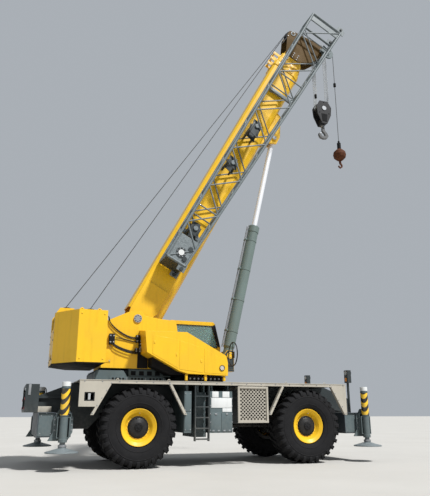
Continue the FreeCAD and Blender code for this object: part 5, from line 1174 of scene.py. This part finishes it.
# Hoists: rope wound ring beside ring, flange bolts, bearings and motors
hoistTrim = {"drums": (-4.13, -3.50), "height": 3.740, "wound": 0.240, "wire": 0.011, "half": 0.272,
             "motor": [(-0.62, 0.0), (-0.62, 0.085), (-0.40, 0.085), (-0.39, 0.12), (-0.345, 0.12), (-0.345,
                 0.0)]}


def makeHoistTrim():
    kit = startPiece()
    wire, half = hoistTrim["wire"], hoistTrim["half"]
    count = int(2 * half / (2.05 * wire))
    for x in hoistTrim["drums"]:
        centre = (x, 0, hoistTrim["height"])
        for along in [(turn + 0.5) * 2 * half / count - half for turn in range(count)]:
            turned(kit, [(along + wire * c, hoistTrim["wound"] + wire * s) for c, s in circle(8)], 0, centre,
                   sides=40, closed=True)
        for hand in (-1, 1):
            boltRing(kit, (x, hand * 0.345, hoistTrim["height"]), (0, hand, 0), 0.13, 10, 1.0, 1)
            disc(kit, centre, "Y", 0.095, handed(hand, 0.345, 0.375), 2)
        turned(kit, hoistTrim["motor"], 2, centre, sides=32)
    finishPiece(kit, "hoistTrim", "superstructure", ["rope", "bareSteel", "blackIron"])


makeSlewTrim()
makeValveBank()
makeHousingTrim()
makeWeightTrim()
makeHoistTrim()
print("slewing structure trimmed")

# Cab: window seals, rails, wiper, grab handle, air intake, and the door's seal and handle
cabTrim = {"near": (0.648, 0.660), "rear": -1.031, "rails": (0.765, 1.345, 3.235, 3.875), "railRadius": 0.010,
           "wiper": [((0.632, 1.05, 3.275), (0.535, 1.24, 3.62), 0.009), ((0.575, 1.20, 3.50), (0.500, 1.27,
               3.76), 0.014)],
           "handle": [(-0.60, 1.505, 2.62), (-0.60, 1.54, 2.64), (-0.60, 1.54, 3.30), (-0.60, 1.505, 3.32)],
           "corner": [(0.550, 3.235), (0.630, 3.235), (0.462, 3.925), (0.365, 3.880)], "slats": 7}


def makeCabTrim():
    kit = startPiece()
    for x, z in (((-0.90, 0.52), (3.205, 3.220)), ((-0.90, 0.36), (3.870, 3.885)), ((-0.94, -0.925), (3.205,
        3.885))):
        box(kit, x, cabTrim["near"], z, 0, 0.003)
    rod(kit, (0.535, 0.654, 3.215), (0.355, 0.654, 3.880), 0.009)
    plate(kit, cabTrim["corner"], (0.650, 0.659), edge=0.002)
    left, right, low, high = cabTrim["rails"]
    for a, b in (((left, low), (left, high)), ((right, low), (right, high)), ((left, low), (right, low)),
                 ((left, high), (right, high))):
        rod(kit, (cabTrim["rear"], *a), (cabTrim["rear"], *b), cabTrim["railRadius"])
    for row in cabTrim["wiper"]:
        rod(kit, *row)
    box(kit, (0.615, 0.660), (1.02, 1.08), (3.235, 3.285), 0, 0.006)
    pipe(kit, cabTrim["handle"], 0.013, 1)
    for z in [2.60 + 0.06 * k for k in range(cabTrim["slats"])]:
        box(kit, (-1.034, -1.025), (0.80, 1.30), (z, z + 0.035), 0, 0.002)
    finishPiece(kit, "cabTrim", "superstructure", ["blackPlastic", "bareSteel"])
    kit = startPiece()
    box(kit, (0.28, 0.34), (1.528, 1.545), (3.02, 3.14))
    boxFrame(kit, (-0.235, 0.345), (1.497, 1.503), (3.105, 3.830), 0.015)
    finishPiece(kit, "doorTrim", "door", ["blackPlastic"])


# Inside the cab: arm rests and levers, wheel on its column, pedals, switches and the padded seat
cabInside = {"floor": 2.320, "middle": 1.05, "armOut": 0.30, "levers": (-0.14, -0.22),
             "knob": [(-0.025, 0.0), (-0.02, 0.018), (0.0, 0.026), (0.02, 0.018), (0.025, 0.0)],
             "wheel": (0.205, 1.02, 0.90), "wheelRadius": 0.19, "lean": (0.93, 0.34), "spokes": (2, 11, 20),
             "pads": [("seatCushion", ((-0.50, 0.82, 0.50), (0.0, 1.28, 0.60))),
                      ("seatBack", ((-0.46, 0.84, 0.62), (-0.37, 1.26, 1.20)))], "padEdge": 0.03, "fill": 0.8}


def makeCabInside():
    kit = startPiece()
    f = cabInside["floor"]
    for hand in (-1, 1):
        y = cabInside["middle"] + hand * cabInside["armOut"]
        box(kit, (-0.42, -0.08), (y - 0.05, y + 0.05), (f + 0.66, f + 0.72), 0, 0.02)
        for x in cabInside["levers"]:
            rod(kit, (x, y, f + 0.72), (x + 0.02, y, f + 0.86), 0.008, 1)
            turned(kit, cabInside["knob"], 0, (x + 0.02, y, f + 0.88), "Z", 16)
    rod(kit, (0.36, 1.02, f + 0.45), (0.22, 1.02, f + 0.86), 0.022)
    x, y, z = cabInside["wheel"]
    radius, (ahead, up) = cabInside["wheelRadius"], cabInside["lean"]
    rim = [Vector((x + radius * c * ahead, y + radius * s, f + z + radius * c * up)) for c, s in circle(28)]
    add(kit, tubeShape(rim, 0.015, 10, True))
    for k in cabInside["spokes"]:
        rod(kit, rim[k], (0.215, 1.02, f + 0.89), 0.011)
    for y in (0.92, 1.14):
        box(kit, (0.20, 0.34), (y - 0.04, y + 0.04), (f + 0.03, f + 0.05), 1, 0.006)
    for k in range(5):
        disc(kit, (0.40 - 0.006 * k, 0.86 + 0.08 * k, f + 0.855), "Z", 0.022, (0.0, 0.012), 1, 18)
    finishPiece(kit, "cabControls", "superstructure", ["blackPlastic", "bareSteel"])
    for label, corners in cabInside["pads"]:
        kit = startPiece()
        low, high = [(x, y, f + z) for x, y, z in corners]
        add(kit, boxShape(low, high, cabInside["padEdge"]))
        piece = finishPiece(kit, label, None, ["seatCloth"])
        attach(piece, "superstructure")


makeCabTrim()
makeCabInside()
print("cab trimmed")

# Boom head: pin caps of the sheaves, side bolts and the rods that keep the ropes in
headTrim = {"pins": ((12.400, -0.930), (12.245, 0.316)), "face": 0.249, "cap": 0.013, "keepers":
            ((12.10, -0.98), (12.56, -0.72), (12.33, 0.10), (12.02, 0.44))}


def makeHeadTrim():
    kit = startPiece()
    near, far = headTrim["face"], headTrim["face"] + headTrim["cap"]
    for hand in (-1, 1):
        for out, rise in headTrim["pins"]:
            disc(kit, (out, 0, rise), "Y", 0.095, handed(hand, near, far))
            boltRing(kit, (out, hand * far, rise), (0, hand, 0), 0.070, 6, 0.8, 1)
        addBolts(kit, product((11.32, 11.42, 11.52), (hand * near,), (-0.27, -0.09, 0.10)), (0, hand, 0),
                 1.1, 1)
    for out, rise in headTrim["keepers"]:
        rod(kit, (out, -0.27, rise), (out, 0.27, rise), 0.016, 1, 12)
    finishPiece(kit, "headTrim", "fly", ["greyPaint", "bareSteel"], place=onBoom)


# Hook block: pin caps, bolts and keepers; weights on the dead end and on the ball's line
hookTrim = {"x": 4.3776, "sheaves": 12.132, "cheek": 0.165, "bolts": ((-0.19, -0.42), (0.19, -0.42), (0,
    0.02)),
            "weight": [(-0.12, -0.46), (0.12, -0.46), (0.09, -0.76), (-0.09, -0.76)], "keepers": (-0.26,
                0.26),
            "nut": [(-0.10, 0.05), (-0.10, 0.075), (-0.02, 0.075), (0.0, 0.06)], "shank": 0.84,
            "deadEnd": [(12.300, 0.012), (12.305, 0.045), (12.445, 0.045), (12.460, 0.012)],
            "line": (4.7715, -0.35, 0),
            "lineWeights": ((12.760, 12.905, 0.048), (10.245, 10.480, 0.066), (10.480, 10.560, 0.034))}


def makeHookTrim():
    x, low, cheek = hookTrim["x"], hookTrim["sheaves"], hookTrim["cheek"]
    kit = startPiece()
    for hand in (-1, 1):
        disc(kit, (x, 0, low - 0.23), "Y", 0.085, handed(hand, cheek, cheek + 0.020), 1)
        addBolts(kit, [(x + dx, hand * cheek, low + dz) for dx, dz in hookTrim["bolts"]], (0, hand, 0), 1.1)
        plate(kit, [(x + dx, low + dz) for dx, dz in hookTrim["weight"]], handed(hand, cheek, cheek + 0.012),
              edge=0.004)
    for dx in hookTrim["keepers"]:
        rod(kit, (x + dx, -0.15, low - 0.10), (x + dx, 0.15, low - 0.10), 0.016, 1, 12)
    shank = low - hookTrim["shank"]
    turned(kit, [(shank + z, radius) for z, radius in hookTrim["nut"]], 1, (x, 0, 0), "Z", 6, True)
    rod(kit, (x + 0.02, 0, shank - 0.24), (x - 0.145, 0, shank - 0.365), 0.012, 1)  # safety latch
    turned(kit, hookTrim["deadEnd"], 0, (4.100, -0.09, 0), "Z", 24)
    finishPiece(kit, "hookTrim", "hook", ["blackIron", "bareSteel"])
    kit = startPiece()
    for foot, top, radius in hookTrim["lineWeights"]:
        turned(kit, [(foot, 0.012), (foot + 0.006, radius), (top - 0.012, radius), (top, 0.012)], 0,
               hookTrim["line"], "Z", 28)
    finishPiece(kit, "ballTrim", "ball_line", ["blackIron"])


# Lift cylinder: pipes with their clips, gland bolts and wiper, drawn from the rod's eye towards the foot
liftTrim = {"eye": (2.3149, 0, 10.3095), "foot": (0.598, 0, 2.900), "barrel": 4.280, "clips": 4,
            "pipes": (-0.06, 0.06),
            "pipe": -0.205, "capAt": (7.933, 0, -0.969), "cap": (0.206, 0.220)}


def makeBarrelTrim():
    eye = Vector(liftTrim["eye"])
    line = Vector(liftTrim["foot"]) - eye
    turn = Matrix.Translation(eye) @ Matrix.Rotation(math.atan2(-line.z, line.x), 4, "Y")
    end = line.length
    top, down = end - liftTrim["barrel"], liftTrim["pipe"]
    kit = startPiece()
    for y in liftTrim["pipes"]:
        pipe(kit, [(top + 0.12, y, down + 0.019), (top + 0.16, y, down), (top + 0.34, y, down), (end - 0.55,
            y, down),
                   (end - 0.36, y, down + 0.010)], 0.014, 1)
    for at in [top + 0.5 + k for k in range(liftTrim["clips"])]:
        sleeve(kit, (0, 0, 0), "X", (0.172, 0.180), (at, at + 0.05), 0, 48)
        box(kit, (at, at + 0.05), (-0.09, 0.09), (-0.225, -0.168), 0, 0.005)
    boltRing(kit, (top, 0, 0), (-1, 0, 0), 0.135, 14, 1.1, 1)
    turned(kit, [(top - 0.012, 0.092), (top - 0.012, 0.105), (top, 0.11), (top, 0.092)], 2, axis="X",
           sides=40,
           closed=True)
    finishPiece(kit, "barrelTrim", "lift_barrel", ["barrelPaint", "bareSteel", "blackPlastic"],
                place=turn)
    kit = startPiece()
    for hand in (-1, 1):
        disc(kit, (0, 0, 0), "Y", 0.07, handed(hand, *liftTrim["cap"]))
    finishPiece(kit, "liftPinCaps", "boom", ["bareSteel"],
                place=onBoom @ Matrix.Translation(liftTrim["capAt"]))


makeHeadTrim()
makeHookTrim()
makeBarrelTrim()
print("head, hook and lift cylinder trimmed")

# Hoist ropes from the drums over the boom to the head, cut into stretches between stops; the last stretch
# rides the fly, the others stay in place
ropes = {"radius": 0.011, "bodies": ["superstructure", "boom", "mid_inner", "mid_outer", "fly"],
         "shares": [0.0, 0.20, 0.46, 0.68, 0.86, 1.0], "sides": 8, "steps": 12,
         "ends": {"rear": ((-4.18, -0.07, 3.995), (3.010, -0.066, 14.815)),
                  "front": ((-3.52, 0.07, 3.985), (3.028, 0.066, 14.826))}}


def makeHoistRopes():
    for label, ends in ropes["ends"].items():
        low, high = [Vector(end) for end in ends]
        stops = [low.lerp(high, share) for share in ropes["shares"]]
        for i, (a, b) in enumerate(zip(stops, stops[1:])):
            last = i == len(stops) - 2
            steps = 2 if last else ropes["steps"]
            kit = startPiece()
            add(kit, tubeShape([a.lerp(b, t / steps) for t in range(steps + 1)], ropes["radius"],
                               ropes["sides"]))
            piece = finishPiece(kit, f"hoistRope_{label}_{i}", "fly" if last else None, ["rope"])
            if not last:
                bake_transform(piece)


makeHoistRopes()
print("hoist ropes run")
